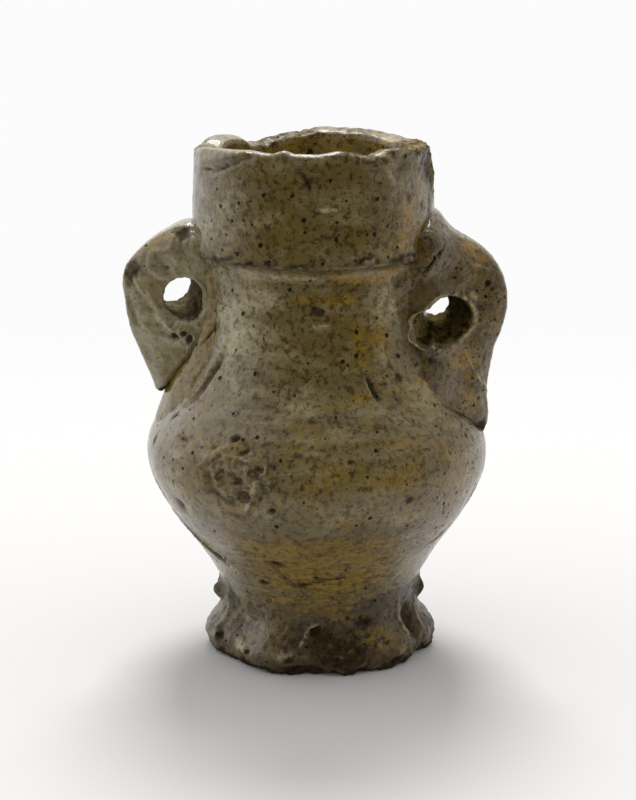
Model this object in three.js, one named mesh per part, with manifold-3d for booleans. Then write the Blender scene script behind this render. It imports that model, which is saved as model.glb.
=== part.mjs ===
// Salt-glazed stoneware jar with a thumbed foot and two pierced lugs.
// Millimetres, +Z up. +X runs through the right lug and +Y points to the back of the jar.
// The origin lies on the standing plane, under the middle of the jar.

import * as THREE from "three";
import { mergeVertices } from "three/addons/utils/BufferGeometryUtils.js";
import Module from "manifold-3d";

const wasm = await Module();
wasm.setup();

// Heights and radii of the thrown vessel
const JAR_HEIGHT = 100;
const BASE_HEIGHT = 1.8;
const BASE_RADIUS = 16.2;
const WAIST_HEIGHT = 6;
const WAIST_RADIUS = 17.4;
const BELLY_HEIGHT = 40;
const BELLY_RADIUS = 33;
const NECK_LENGTH = 20.8;
const LEDGE_HEIGHT = JAR_HEIGHT - NECK_LENGTH;
const LEDGE_RADIUS = 23.3;
const THROAT_LENGTH = 3.6;
const THROAT_HEIGHT = LEDGE_HEIGHT - THROAT_LENGTH;
const THROAT_RADIUS = 20.9;
const LEDGE_UNDERCUT = 0.9;
const RIM_RADIUS = 22.5;
const LIP_ROUNDING = 1.3;

// Clay thickness
const BODY_WALL = 4.2;
const NECK_WALL = 4.8;
const FLOOR_THICKNESS = 5.5;

// How full the curves swell between waist, belly and throat
const WAIST_RISE = 12.8;
const BELLY_RISE_BELOW = 10.8;
const BELLY_RISE_ABOVE = 10.8;
const THROAT_DROP = 27;

// The jar dried leaning: it lies this far off its axis at the foot and at the rim
const FOOT_LEAN = 0.8;
const RIM_LEAN = -0.7;

// Where the rim is worn down: degrees round from +X, width in degrees, depth
const RIM_WEAR = [
  { at: 126, width: 22, depth: 2.3 },
  { at: 104, width: 16, depth: 0.8 },
  { at: 164, width: 12, depth: 1.2 },
  { at: 30, width: 24, depth: 0.6 },
  { at: 301, width: 9, depth: 0.9 },
];
const RIM_WEAR_REACH = 7;

// How steeply a press or a worn place falls off to its sides
const PRESS_FALL = 2;

// Pieces that were luted together keep this slip gap, the clay of the joint itself
const SLIP = 0.3;

// The foot coil and the thumb presses round it
const FOOT_HEIGHT = 15.5;
const FOOT_COIL = 5.6;
const FOOT_LOBE_HEIGHT = 3.6;
const FOOT_NECK_HEIGHT = 10;
const FOOT_NECK_COIL = 1.7;
const FOOT_TOP_COIL = 0.8;
const FOOT_TUCK = 3;
const FOOT_SOLE_ROUNDING = 0.7;
const THUMB_PRESSES = [
  { at: 211, width: 19, depth: 1.8 },
  { at: 268, width: 15, depth: 2.2 },
  { at: 299, width: 11, depth: 1.2 },
  { at: 332, width: 15, depth: 2.2 },
  { at: 22, width: 15, depth: 2.6 },
  { at: 70, width: 18, depth: 3 },
  { at: 118, width: 17, depth: 2.8 },
  { at: 160, width: 15, depth: 2.6 },
];

// The lugs. Each spans from its tail, above the widest belly, to its top, above the ledge. A point of
// its outline is a distance proud of the wall and a share of that span; the root lies inside the wall.
const RIGHT_LUG = {
  turn: -3,
  front: -1,
  top: 7.9,
  tail: 4.8,
  outline: [
    [15, 0.5], [15.7, 0.63], [13.7, 0.77], [6.4, 0.88], [0, 1], [-5, 0.97], [-5.9, 0.79],
    [-7.3, 0.41], [-8.2, 0.13], [-4.2, 0], [1.1, 0.02], [6.2, 0.17], [11.2, 0.35],
  ],
  centre: [4.4, 0.52],
  rootThickness: 12,
  rootFlare: 7,
  edgeThickness: 7,
  hole: {
    height: -9.9, web: 0.4, exitWidth: 6.8, exitHeight: 7,
    mouthWidth: 12.4, mouthHeight: 10.8, mouthOut: 0.2, mouthUp: -2,
  },
  collar: 1.6,
  crumbs: [],
};
const LEFT_LUG = {
  turn: 182,
  front: 1,
  top: 5.7,
  tail: 11,
  outline: [
    [15.3, 0.55], [15.7, 0.71], [11.9, 0.82], [6, 0.94], [0.9, 1], [-3.1, 0.96], [-5.9, 0.8],
    [-7.3, 0.33], [-4.4, 0.08], [2.4, 0], [8.2, 0.16], [13.4, 0.38],
  ],
  centre: [5.1, 0.55],
  rootThickness: 10.8,
  rootFlare: 2,
  edgeThickness: 5.4,
  hole: {
    height: -8.4, web: 1.5, exitWidth: 8.2, exitHeight: 8.7,
    mouthWidth: 8.5, mouthHeight: 8.9, mouthOut: -2, mouthUp: 0,
  },
  collar: 0.9,
  crumbs: [{ out: -0.6, down: 6, size: 1.9 }, { out: -2.4, down: 4.6, size: 1.3 }],
};
const LUG_SQUARENESS = 3;
const ROOT_FLARE_REACH = 3;

// The collar round a hole's mouth: the radius of its roll as a share of the collar's size, how often
// and how much it swells and thins round its turn, and how deep it and the crumbs sit in the face
const COLLAR_ROLL = 0.5;
const COLLAR_LUMPS = 3;
const COLLAR_UNEVEN = 0.3;
const COLLAR_SEAT = 0.1;
const CRUMB_SEAT = 0.25;

// The smeared luting round each lug's root; it stops a little above the ledge
const LUTING_WIDTH = 2.8;
const LUTING_RISE = 1.8;
const LUTING_TOP = 0.8;
const LUTING_FADE = 1.5;

// The stick that pierced the lugs runs on past both faces, as a share of the lug's thickness
const STICK_OVERRUN = 0.4;

// Forms used only for cutting run on past the rim
const RIM_OVERRUN = 5;

// Fineness of the surfaces
const VESSEL_SIDES = 64;
const CURVE_STEPS = 9;
const LIP_STEPS = 3;
const LUG_SIDES = 36;
const LUG_ROWS = 14;
const BORE_SIDES = 20;
const BORE_STEPS = 4;
const COLLAR_SIDES = 6;

// Fired clay under salt glaze
const GLAZED_BODY = { color: 0x7d7257, roughness: 0.32 };
const FOOT_CLAY = { color: 0x665739, roughness: 0.5 };
const LUG_CLAY = { color: 0x726749, roughness: 0.38 };
const LUTING_CLAY = { color: 0x85795c, roughness: 0.42 };

// A bump that is 1 in the middle of a press or worn place and fades to about an eighth at its width.
function pressAt(angle, press) {
  const apart = Math.abs(THREE.MathUtils.euclideanModulo(angle - press.at + 180, 360) - 180);
  return Math.exp(-PRESS_FALL * (apart / press.width) ** 2);
}

// How deep the presses of a list reach at one angle round the jar.
function pressDepth(angle, presses) {
  return presses.reduce((sum, press) => sum + press.depth * pressAt(angle, press), 0);
}

// Angle of a point round the jar, in degrees.
function angleOf(point) {
  return THREE.MathUtils.radToDeg(Math.atan2(point.y, point.x));
}

// A point of the half-section: radius, then height.
const at = (radius, height) => new THREE.Vector2(radius, height);

// Points along a curve that leaves its first point straight up and arrives straight up or down.
function swell(from, fromPull, to, toPull) {
  const curve = new THREE.CubicBezierCurve(
    from, at(from.x, from.y + fromPull), at(to.x, to.y + toPull), to,
  );
  return curve.getPoints(CURVE_STEPS);
}

// Half-section of the outside, from the middle of the base up to the outer lip.
function outerSection() {
  const belly = at(BELLY_RADIUS, BELLY_HEIGHT);
  return [
    at(0, BASE_HEIGHT),
    at(BASE_RADIUS, BASE_HEIGHT),
    ...swell(at(WAIST_RADIUS, WAIST_HEIGHT), WAIST_RISE, belly, -BELLY_RISE_BELOW),
    ...swell(belly, BELLY_RISE_ABOVE, at(THROAT_RADIUS, THROAT_HEIGHT), -THROAT_DROP).slice(1),
    at(THROAT_RADIUS, LEDGE_HEIGHT - LEDGE_UNDERCUT),
    at(LEDGE_RADIUS, LEDGE_HEIGHT),
    at((LEDGE_RADIUS + RIM_RADIUS) / 2, LEDGE_HEIGHT + NECK_LENGTH / 2),
    at(RIM_RADIUS, JAR_HEIGHT - LIP_ROUNDING),
  ];
}

// Half-section of the lip, rounded over from the outside to the bore.
function lipSection() {
  const bore = RIM_RADIUS - NECK_WALL;
  const below = JAR_HEIGHT - LIP_ROUNDING;
  const crown = at(RIM_RADIUS - NECK_WALL / 2, JAR_HEIGHT);
  const outside = new THREE.QuadraticBezierCurve(at(RIM_RADIUS, below), at(RIM_RADIUS, JAR_HEIGHT), crown);
  const inside = new THREE.QuadraticBezierCurve(crown, at(bore, JAR_HEIGHT), at(bore, below));
  return [...outside.getPoints(LIP_STEPS), ...inside.getPoints(LIP_STEPS).slice(1)].slice(1);
}

// Half-section of the inside, from the bore of the neck down to the middle of the floor.
function innerSection() {
  const throat = at(THROAT_RADIUS - BODY_WALL, THROAT_HEIGHT);
  const belly = at(BELLY_RADIUS - BODY_WALL, BELLY_HEIGHT);
  const floor = at(BASE_RADIUS - BODY_WALL, BASE_HEIGHT + FLOOR_THICKNESS);
  return [
    ...swell(throat, -THROAT_DROP, belly, BELLY_RISE_ABOVE),
    ...swell(belly, -BELLY_RISE_BELOW, floor, WAIST_RISE).slice(1),
    at(0, floor.y),
  ];
}

// Points of the outside alone, moved out by a clearance square to the wall and closed on the axis.
function grownSection(clearance) {
  const points = outerSection();
  const moved = points.map((point, i) => {
    const before = points[Math.max(i - 1, 0)];
    const after = points[Math.min(i + 1, points.length - 1)];
    const along = after.clone().sub(before).normalize();
    return at(point.x + along.y * clearance, point.y - along.x * clearance);
  });
  moved[0].set(0, BASE_HEIGHT - clearance);
  moved.push(at(RIM_RADIUS + clearance, JAR_HEIGHT + RIM_OVERRUN), at(0, JAR_HEIGHT + RIM_OVERRUN));
  return moved;
}

// Outer radius of the thrown wall at a height.
const wallPoints = outerSection();
function wallRadius(height) {
  for (let i = 2; i < wallPoints.length; i += 1) {
    const lower = wallPoints[i - 1];
    const upper = wallPoints[i];
    if (height <= upper.y && upper.y > lower.y) {
      const share = THREE.MathUtils.clamp((height - lower.y) / (upper.y - lower.y), 0, 1);
      return THREE.MathUtils.lerp(lower.x, upper.x, share);
    }
  }
  return RIM_RADIUS;
}

// A section turned round the jar's axis, which stands along +Z.
function turned(points) {
  const geometry = new THREE.LatheGeometry(points, VESSEL_SIDES);
  geometry.rotateX(Math.PI / 2);
  return geometry;
}

// Moves every point of a geometry by a function.
function reshape(geometry, move) {
  const place = geometry.attributes.position;
  const point = new THREE.Vector3();
  for (let i = 0; i < place.count; i += 1) {
    point.fromBufferAttribute(place, i);
    move(point);
    place.setXYZ(i, point.x, point.y, point.z);
  }
  return geometry;
}

// Turns a three.js geometry into a solid, with its seams merged and its pole slivers dropped.
function solid(geometry) {
  geometry.deleteAttribute("normal");
  geometry.deleteAttribute("uv");
  const merged = mergeVertices(geometry, 1e-4);
  const corners = Array.from(merged.index.array);
  const kept = [];
  for (let i = 0; i < corners.length; i += 3) {
    const [a, b, c] = corners.slice(i, i + 3);
    if (a !== b && b !== c && c !== a) {
      kept.push(a, b, c);
    }
  }
  const mesh = new wasm.Mesh({
    numProp: 3,
    vertProperties: new Float32Array(merged.attributes.position.array),
    triVerts: new Uint32Array(kept),
  });
  return new wasm.Manifold(mesh);
}

// Joins the solids of a list.
function joined(solids) {
  return solids.reduce((sum, one) => sum.add(one));
}

// The thrown vessel, with its rim worn down in places.
function thrownVessel() {
  const geometry = turned([...outerSection(), ...lipSection(), ...innerSection()]);
  reshape(geometry, (point) => {
    const nearRim = THREE.MathUtils.smoothstep(point.z, JAR_HEIGHT - RIM_WEAR_REACH, JAR_HEIGHT);
    point.z -= pressDepth(angleOf(point), RIM_WEAR) * nearRim;
  });
  return solid(geometry);
}

// The outside of the vessel as a full form, grown by a clearance, to cut what sits against it.
function vesselForm(clearance) {
  return solid(turned(grownSection(clearance)));
}

// Thickness of the foot coil at a height, before the thumb presses.
function coilThickness(height) {
  if (height < FOOT_NECK_HEIGHT) {
    const fall = THREE.MathUtils.smoothstep(height, FOOT_LOBE_HEIGHT, FOOT_NECK_HEIGHT);
    return THREE.MathUtils.lerp(FOOT_COIL, FOOT_NECK_COIL, fall);
  }
  const share = (height - FOOT_NECK_HEIGHT) / (FOOT_HEIGHT - FOOT_NECK_HEIGHT);
  return THREE.MathUtils.lerp(FOOT_NECK_COIL, FOOT_TOP_COIL, share);
}

// The foot: a coil round the base with a flat sole, pinched out into lobes between the presses.
function footRing() {
  const tuckRadius = BASE_RADIUS - FOOT_TUCK;
  const lobe = [FOOT_SOLE_ROUNDING, FOOT_LOBE_HEIGHT];
  const drawnIn = [1, 2].map((step) => THREE.MathUtils.lerp(FOOT_LOBE_HEIGHT, FOOT_NECK_HEIGHT, step / 3));
  const middle = (FOOT_NECK_HEIGHT + FOOT_HEIGHT) / 2;
  const section = [at(tuckRadius, 0), at(wallRadius(0) + FOOT_COIL - FOOT_SOLE_ROUNDING, 0)];
  for (const height of [...lobe, ...drawnIn, FOOT_NECK_HEIGHT, middle, FOOT_HEIGHT]) {
    section.push(at(wallRadius(height) + coilThickness(height), height));
  }
  section.push(at(tuckRadius, FOOT_HEIGHT), at(tuckRadius, 0));
  const geometry = turned(section);
  reshape(geometry, (point) => {
    const radius = Math.hypot(point.x, point.y);
    const thickness = coilThickness(point.z);
    if (radius > BASE_RADIUS) {
      const pinched = (thickness - FOOT_TOP_COIL) / (FOOT_COIL - FOOT_TOP_COIL);
      const pressed = radius - pressDepth(angleOf(point), THUMB_PRESSES) * pinched;
      point.x *= pressed / radius;
      point.y *= pressed / radius;
    }
  });
  return solid(geometry).subtract(vesselForm(SLIP));
}

// A point of a lug in its own plane, as x out from the jar's axis and y up.
function lugPoint(lug, [proud, share]) {
  const height = THREE.MathUtils.lerp(BELLY_HEIGHT + lug.tail, LEDGE_HEIGHT + lug.top, share);
  return new THREE.Vector3(wallRadius(height) + proud, height, 0);
}

// A lug with its closed outline, its middle and its outermost edge placed against the wall.
function seated(lug) {
  const corners = lug.outline.map((point) => lugPoint(lug, point));
  return {
    ...lug,
    curve: new THREE.CatmullRomCurve3(corners, true, "centripetal"),
    middle: lugPoint(lug, lug.centre),
    edge: Math.max(...corners.map((corner) => corner.x)),
  };
}

// Half the thickness of a lug at a distance out from the jar's axis: it spreads at its root.
function lugHalf(lug, out) {
  const share = THREE.MathUtils.smoothstep(out, LEDGE_RADIUS, lug.edge);
  const plain = THREE.MathUtils.lerp(lug.rootThickness, lug.edgeThickness, share);
  const fromThroat = Math.max(out - THROAT_RADIUS, 0) / ROOT_FLARE_REACH;
  return (plain + lug.rootFlare * Math.exp(-(fromThroat ** 2))) / 2;
}

// A pressed lump of clay with a lug's outline. grow(out, up) gives how much larger it is there.
function pressedLump(lug, grow) {
  const ball = new THREE.SphereGeometry(1, LUG_SIDES, LUG_ROWS);
  return reshape(ball, (point) => {
    const turnShare = THREE.MathUtils.euclideanModulo(Math.atan2(point.z, point.x) / (2 * Math.PI), 1);
    const edge = lug.curve.getPoint(turnShare);
    const along = lug.curve.getTangent(turnShare);
    const spread = Math.min(Math.hypot(point.x, point.z), 1) ** (2 / LUG_SQUARENESS);
    const across = Math.sign(point.y) * Math.abs(point.y) ** (2 / LUG_SQUARENESS);
    const out = THREE.MathUtils.lerp(lug.middle.x, edge.x, spread);
    const up = THREE.MathUtils.lerp(lug.middle.y, edge.y, spread);
    const larger = grow(out, up);
    point.x = out + along.y * larger * spread;
    point.z = up - along.x * larger * spread;
    point.y = across * (lugHalf(lug, out) + larger);
  });
}

// Where a lug's hole comes out at its far side: clear of the wall by the web of clay between.
function holeExit(lug) {
  const up = LEDGE_HEIGHT + lug.hole.height;
  const out = wallRadius(up) + SLIP + lug.hole.web + lug.hole.exitWidth / 2;
  return new THREE.Vector3(out, -lug.front * lugHalf(lug, out), up);
}

// Middle of the hole's mouth, on the side where the stick went in.
function holeMouth(lug) {
  const exit = holeExit(lug);
  const out = exit.x + lug.hole.mouthOut;
  return new THREE.Vector3(out, lug.front * lugHalf(lug, out), exit.z + lug.hole.mouthUp);
}

// The stick's path through a lug, run on past both faces.
function holeBore(lug) {
  const { mouthWidth, mouthHeight, exitWidth, exitHeight } = lug.hole;
  const exit = holeExit(lug);
  const mouth = holeMouth(lug);
  const stick = new THREE.CylinderGeometry(1, 1, 1, BORE_SIDES, BORE_STEPS);
  reshape(stick, (point) => {
    const share = point.y * (1 + 2 * STICK_OVERRUN) + 0.5;
    const width = THREE.MathUtils.lerp(exitWidth, mouthWidth, Math.max(share, 0)) / 2;
    const height = THREE.MathUtils.lerp(exitHeight, mouthHeight, Math.max(share, 0)) / 2;
    const middle = exit.clone().lerp(mouth, share);
    point.set(middle.x + point.x * width, middle.y, middle.z + lug.front * point.z * height);
  });
  return solid(stick);
}

// The raised rim of clay that the stick pushed up round the mouth, uneven round its turn.
function mouthCollar(lug, grow) {
  const mouth = holeMouth(lug);
  const ring = new THREE.TorusGeometry(1, COLLAR_ROLL, COLLAR_SIDES, BORE_SIDES);
  const thick = lug.collar;
  return reshape(ring, (point) => {
    const turn = Math.atan2(point.y, point.x);
    const radial = Math.hypot(point.x, point.y) - 1;
    const lump = (1 + COLLAR_UNEVEN * Math.sin(COLLAR_LUMPS * turn)) * thick + grow / COLLAR_ROLL;
    const out = mouth.x + Math.cos(turn) * (lug.hole.mouthWidth / 2 + radial * lump);
    const up = mouth.z + Math.sin(turn) * (lug.hole.mouthHeight / 2 + radial * lump);
    const face = lug.front * (lugHalf(lug, out) - COLLAR_SEAT * thick);
    point.set(out, face - point.z * lump, up);
  });
}

// Crumbs of clay that the stick dragged out of the hole and left on the face.
function mouthCrumbs(lug, grow) {
  const mouth = holeMouth(lug);
  return lug.crumbs.map(({ out, down, size }) => {
    const crumb = new THREE.IcosahedronGeometry(size + grow, 1);
    crumb.translate(mouth.x + out, mouth.y - lug.front * size * CRUMB_SEAT, mouth.z - down);
    return solid(crumb);
  });
}

// A lug before it is pierced and seated, grown by a clearance.
function unpiercedLug(lug, clearance) {
  const lump = solid(pressedLump(lug, () => clearance));
  return joined([lump, solid(mouthCollar(lug, clearance)), ...mouthCrumbs(lug, clearance)]);
}

// Turns a solid round the jar to its lug's place.
function turnedToPlace(shape, lug) {
  return shape.rotate([0, 0, lug.turn]);
}

// The pierced lug, its root cut to the wall it sits on.
function piercedLug(lug) {
  const pierced = unpiercedLug(lug, 0).subtract(holeBore(lug));
  return turnedToPlace(pierced, lug).subtract(vesselForm(SLIP));
}

// The luting: clay smeared round a lug's root, widest on the wall and dying out up the lug.
function lugLuting(lug) {
  const top = LEDGE_HEIGHT + LUTING_TOP;
  const smear = (out, up) => {
    const onWall = 1 - THREE.MathUtils.smoothstep(out - wallRadius(up), 0, 2 * LUTING_RISE);
    const belowTop = 1 - THREE.MathUtils.smoothstep(up, top - LUTING_FADE, top + LUTING_FADE);
    return LUTING_WIDTH * onWall * belowTop;
  };
  const wad = solid(pressedLump(lug, smear));
  const collar = wad.subtract(unpiercedLug(lug, SLIP));
  return turnedToPlace(collar, lug).intersect(vesselForm(LUTING_RISE)).subtract(vesselForm(SLIP));
}

// A named mesh of one piece, leaning as the whole jar leans.
function piece(name, shape, clay) {
  const { vertProperties, triVerts } = shape.getMesh();
  const geometry = new THREE.BufferGeometry();
  geometry.setAttribute("position", new THREE.BufferAttribute(vertProperties.slice(), 3));
  geometry.setIndex(new THREE.BufferAttribute(triVerts.slice(), 1));
  reshape(geometry, (point) => {
    point.x += THREE.MathUtils.lerp(FOOT_LEAN, RIM_LEAN, point.z / JAR_HEIGHT);
  });
  geometry.computeVertexNormals();
  const material = new THREE.MeshStandardMaterial({ ...clay, metalness: 0 });
  const mesh = new THREE.Mesh(geometry, material);
  mesh.name = name;
  return mesh;
}

const jar = new THREE.Group();
jar.name = "stoneware_jar";
jar.add(piece("thrown_vessel", thrownVessel(), GLAZED_BODY));
jar.add(piece("foot_ring", footRing(), FOOT_CLAY));
for (const [name, drawn] of [["left_lug", LEFT_LUG], ["right_lug", RIGHT_LUG]]) {
  const lug = seated(drawn);
  jar.add(piece(name, piercedLug(lug), LUG_CLAY));
  jar.add(piece(`${name}_luting`, lugLuting(lug), LUTING_CLAY));
}

export default jar;
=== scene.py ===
"""A small salt-glazed stoneware jar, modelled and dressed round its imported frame.

The jar is thrown on a wheel, its foot is a coil pinched out with the thumb, and its two cord lugs are
pressed lumps, pierced with a stick and luted on with smeared clay. It stands on a pale studio floor.
Clay is worked in millimetres and goes into the scene in metres. "Turn" is an angle in degrees round the
jar's axis, counted from +X, where the right lug sits; 270 faces the camera.
"""

import logging
import math
from collections.abc import Callable, Sequence
from dataclasses import dataclass
from enum import Enum
from functools import partial

import bmesh
import bpy
import numpy as np
from mathutils import Matrix, Vector, noise
from mathutils.geometry import interpolate_bezier


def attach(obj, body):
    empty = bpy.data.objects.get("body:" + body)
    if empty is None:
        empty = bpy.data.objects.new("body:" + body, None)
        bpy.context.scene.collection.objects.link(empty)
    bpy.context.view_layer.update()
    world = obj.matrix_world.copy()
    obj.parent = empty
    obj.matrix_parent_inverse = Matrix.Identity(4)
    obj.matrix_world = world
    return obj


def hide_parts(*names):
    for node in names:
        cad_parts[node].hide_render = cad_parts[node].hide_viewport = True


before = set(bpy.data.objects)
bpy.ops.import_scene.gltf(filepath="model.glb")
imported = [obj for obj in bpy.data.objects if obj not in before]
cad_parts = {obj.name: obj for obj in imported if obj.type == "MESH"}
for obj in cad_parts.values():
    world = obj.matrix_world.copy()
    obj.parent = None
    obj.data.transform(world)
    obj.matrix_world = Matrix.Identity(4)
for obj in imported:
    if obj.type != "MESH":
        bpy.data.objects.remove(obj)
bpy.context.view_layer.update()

MM = 0.001
BODY = "root"
PAINT = "clay_paint"
IRON = "iron_spots"
WHITE = (1.0, 1.0, 1.0, 1.0)
SMOOTH = {"interpolation_type": "SMOOTHSTEP"}
PLUS = {"operation": "ADD"}
MINUS = {"operation": "SUBTRACT"}
TIMES = {"operation": "MULTIPLY"}
LARGER = {"operation": "MAXIMUM"}
log = logging.getLogger("stoneware_jar")


class Tone(Enum):
    """What is painted on the clay, and the channel of the paint attribute that holds it."""

    BARE = 0
    OCHRE = 1
    DARK = 2
    PALE = 3


def linear(colour: str) -> tuple[float, float, float, float]:
    """Turn an sRGB hex colour into linear RGBA.

    Args:
        colour: Six hex digits after a hash sign.

    Returns:
        Linear red, green, blue and an alpha of 1.
    """
    parts = [int(colour[i:i + 2], 16) / 255 for i in (1, 3, 5)]
    red, green, blue = (c / 12.92 if c <= 0.04045 else ((c + 0.055) / 1.055) ** 2.4 for c in parts)
    return red, green, blue, 1.0


def ease(low: float, high: float, value: np.ndarray) -> np.ndarray:
    """Step smoothly from 0 at low to 1 at high.

    Args:
        low: Where the step starts.
        high: Where it ends.
        value: The values to step.

    Returns:
        The eased share for each value.
    """
    share = np.clip((value - low) / (high - low), 0.0, 1.0)
    return share * share * (3 - 2 * share)


def powered(value: np.ndarray, power: float) -> np.ndarray:
    """Raise the size of each value to a power and keep its sign."""
    return np.sign(value) * np.abs(value) ** power


def apart(turns: np.ndarray, turn: float) -> np.ndarray:
    """Give how many degrees lie from a turn to each of many, from -180 to 180."""
    return (turns - turn + 180) % 360 - 180


@dataclass(frozen=True)
class JarSizes:
    """The thrown jar's driving sizes, in millimetres."""

    height: float = 100.0
    base_height: float = 1.8
    base_radius: float = 16.2
    waist_height: float = 6.0
    waist_radius: float = 17.4
    belly_height: float = 40.0
    belly_radius: float = 33.0
    neck_length: float = 20.8
    ledge_radius: float = 23.3
    ledge_swell: float = 2.9
    throat_length: float = 3.6
    throat_radius: float = 20.9
    rim_radius: float = 22.5
    lip_rounding: float = 1.0
    lip_crest: float = 1.3
    body_wall: float = 4.2
    neck_wall: float = 4.8
    floor_thickness: float = 5.5
    waist_rise: float = 12.8
    belly_rise: float = 10.8
    throat_drop: float = 27.0
    foot_lean: float = 0.8
    rim_lean: float = -0.7

    @property
    def ledge_height(self) -> float:
        """Height of the ledge under the neck."""
        return self.height - self.neck_length

    @property
    def throat_height(self) -> float:
        """Height of the narrowest place, just under the ledge."""
        return self.ledge_height - self.throat_length


def bow(start: Vector, start_pull: float, end: Vector, end_pull: float, steps: int) -> list[Vector]:
    """Bend a curve that leaves and arrives upright.

    Args:
        start: First point, as radius, 0, height.
        start_pull: Signed height of the first handle over its point.
        end: Last point.
        end_pull: Signed height of the last handle over its point.
        steps: How many points to make.

    Returns:
        The points of the curve, both ends included.
    """
    up = Vector((0, 0, 1))
    return interpolate_bezier(start, start + up * start_pull, end + up * end_pull, end, steps)


def resampled(points: Sequence[Vector], spacing: float) -> list[Vector]:
    """Space the points of a line evenly.

    Args:
        points: The corners of the line.
        spacing: The distance wanted between points.

    Returns:
        New points along the line, both ends included.
    """
    line = np.array([tuple(p) for p in points])
    lengths = np.concatenate([[0], np.cumsum(np.linalg.norm(np.diff(line, axis=0), axis=1))])
    count = max(int(round(lengths[-1] / spacing)), 1)
    marks = np.linspace(0, lengths[-1], count + 1)
    return [Vector([float(np.interp(m, lengths, line[:, axis])) for axis in range(3)]) for m in marks]


class Section:
    """The half-section of the thrown jar, which everything luted to the wall follows."""

    def __init__(self, sizes: JarSizes) -> None:
        """Draw the section.

        Args:
            sizes: The jar's driving sizes.
        """
        self.sizes = sizes
        s = sizes
        waist = Vector((s.waist_radius, 0, s.waist_height))
        belly = Vector((s.belly_radius, 0, s.belly_height))
        throat = Vector((s.throat_radius, 0, s.throat_height))
        under = Vector((s.throat_radius, 0, s.ledge_height - s.ledge_swell))
        ledge = Vector((s.ledge_radius, 0, s.ledge_height + 0.3))
        self.outer = [Vector((s.base_radius, 0, s.base_height))]
        self.outer += bow(waist, s.waist_rise, belly, -s.belly_rise, 40)
        self.outer += bow(belly, s.belly_rise, throat, -s.throat_drop, 40)[1:]
        self.outer += interpolate_bezier(
            under, under + Vector((0, 0, 2.0)), ledge - Vector((1.4, 0, 0.4)), ledge, 12,
        )
        self.outer.append(Vector((s.rim_radius, 0, s.height - s.lip_rounding)))
        self._heights = np.array([p.z for p in self.outer])
        self._radii = np.array([p.x for p in self.outer])

    def radius(self, height: np.ndarray) -> np.ndarray:
        """Give the outer radius of the wall at each height."""
        return np.interp(height, self._heights, self._radii)

    def lean(self, height: np.ndarray) -> np.ndarray:
        """Give how far the leaning jar lies off its axis at each height."""
        s = self.sizes
        return s.foot_lean + (s.rim_lean - s.foot_lean) * height / s.height

    def spot(self, turn: float, height: float) -> tuple[Vector, Vector, Vector]:
        """Find a place on the outer wall.

        Args:
            turn: Degrees round the jar.
            height: Millimetres up.

        Returns:
            The place, its level direction (towards growing turn) and its outward normal.
        """
        reach = 0.5
        angle = math.radians(turn)
        out = Vector((math.cos(angle), math.sin(angle), 0))
        level = Vector((-out.y, out.x, 0))
        below, here, above = (float(self.radius(height + step)) for step in (-reach, 0, reach))
        normal = (out * 2 * reach - Vector((0, 0, above - below))).normalized()
        return out * here + Vector((0, 0, height)), level, normal


@dataclass(frozen=True)
class Stroke:
    """One mark of a finger, tool or accident, and the tone it leaves.

    A positive depth presses in and a negative one raises. Its length lies level until lie, in degrees,
    turns it up towards the right. Sharp is 2 for a soft hollow and more for a flat one with steep sides.
    The tables of strokes give these values in this order.
    """

    turn: float
    height: float
    length: float
    width: float
    depth: float = 0.0
    lie: float = 0.0
    sharp: float = 2.0
    ragged: float = 0.3
    lip: float = 0.0
    tone: Tone | None = None
    amount: float = 1.0

    @classmethod
    def flush(
        cls, tone: Tone, turn: float, height: float, length: float, width: float, ragged: float,
        amount: float, lie: float = 0.0, sharp: float = 2.0,
    ) -> "Stroke":
        """Make a flush of a tone, which neither presses nor raises, from the same values as a stroke."""
        return cls(turn, height, length, width, 0.0, lie, sharp, ragged, 0.0, tone, amount)


Place =Callable[[float, float], tuple[Vector, Vector, Vector]]


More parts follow.
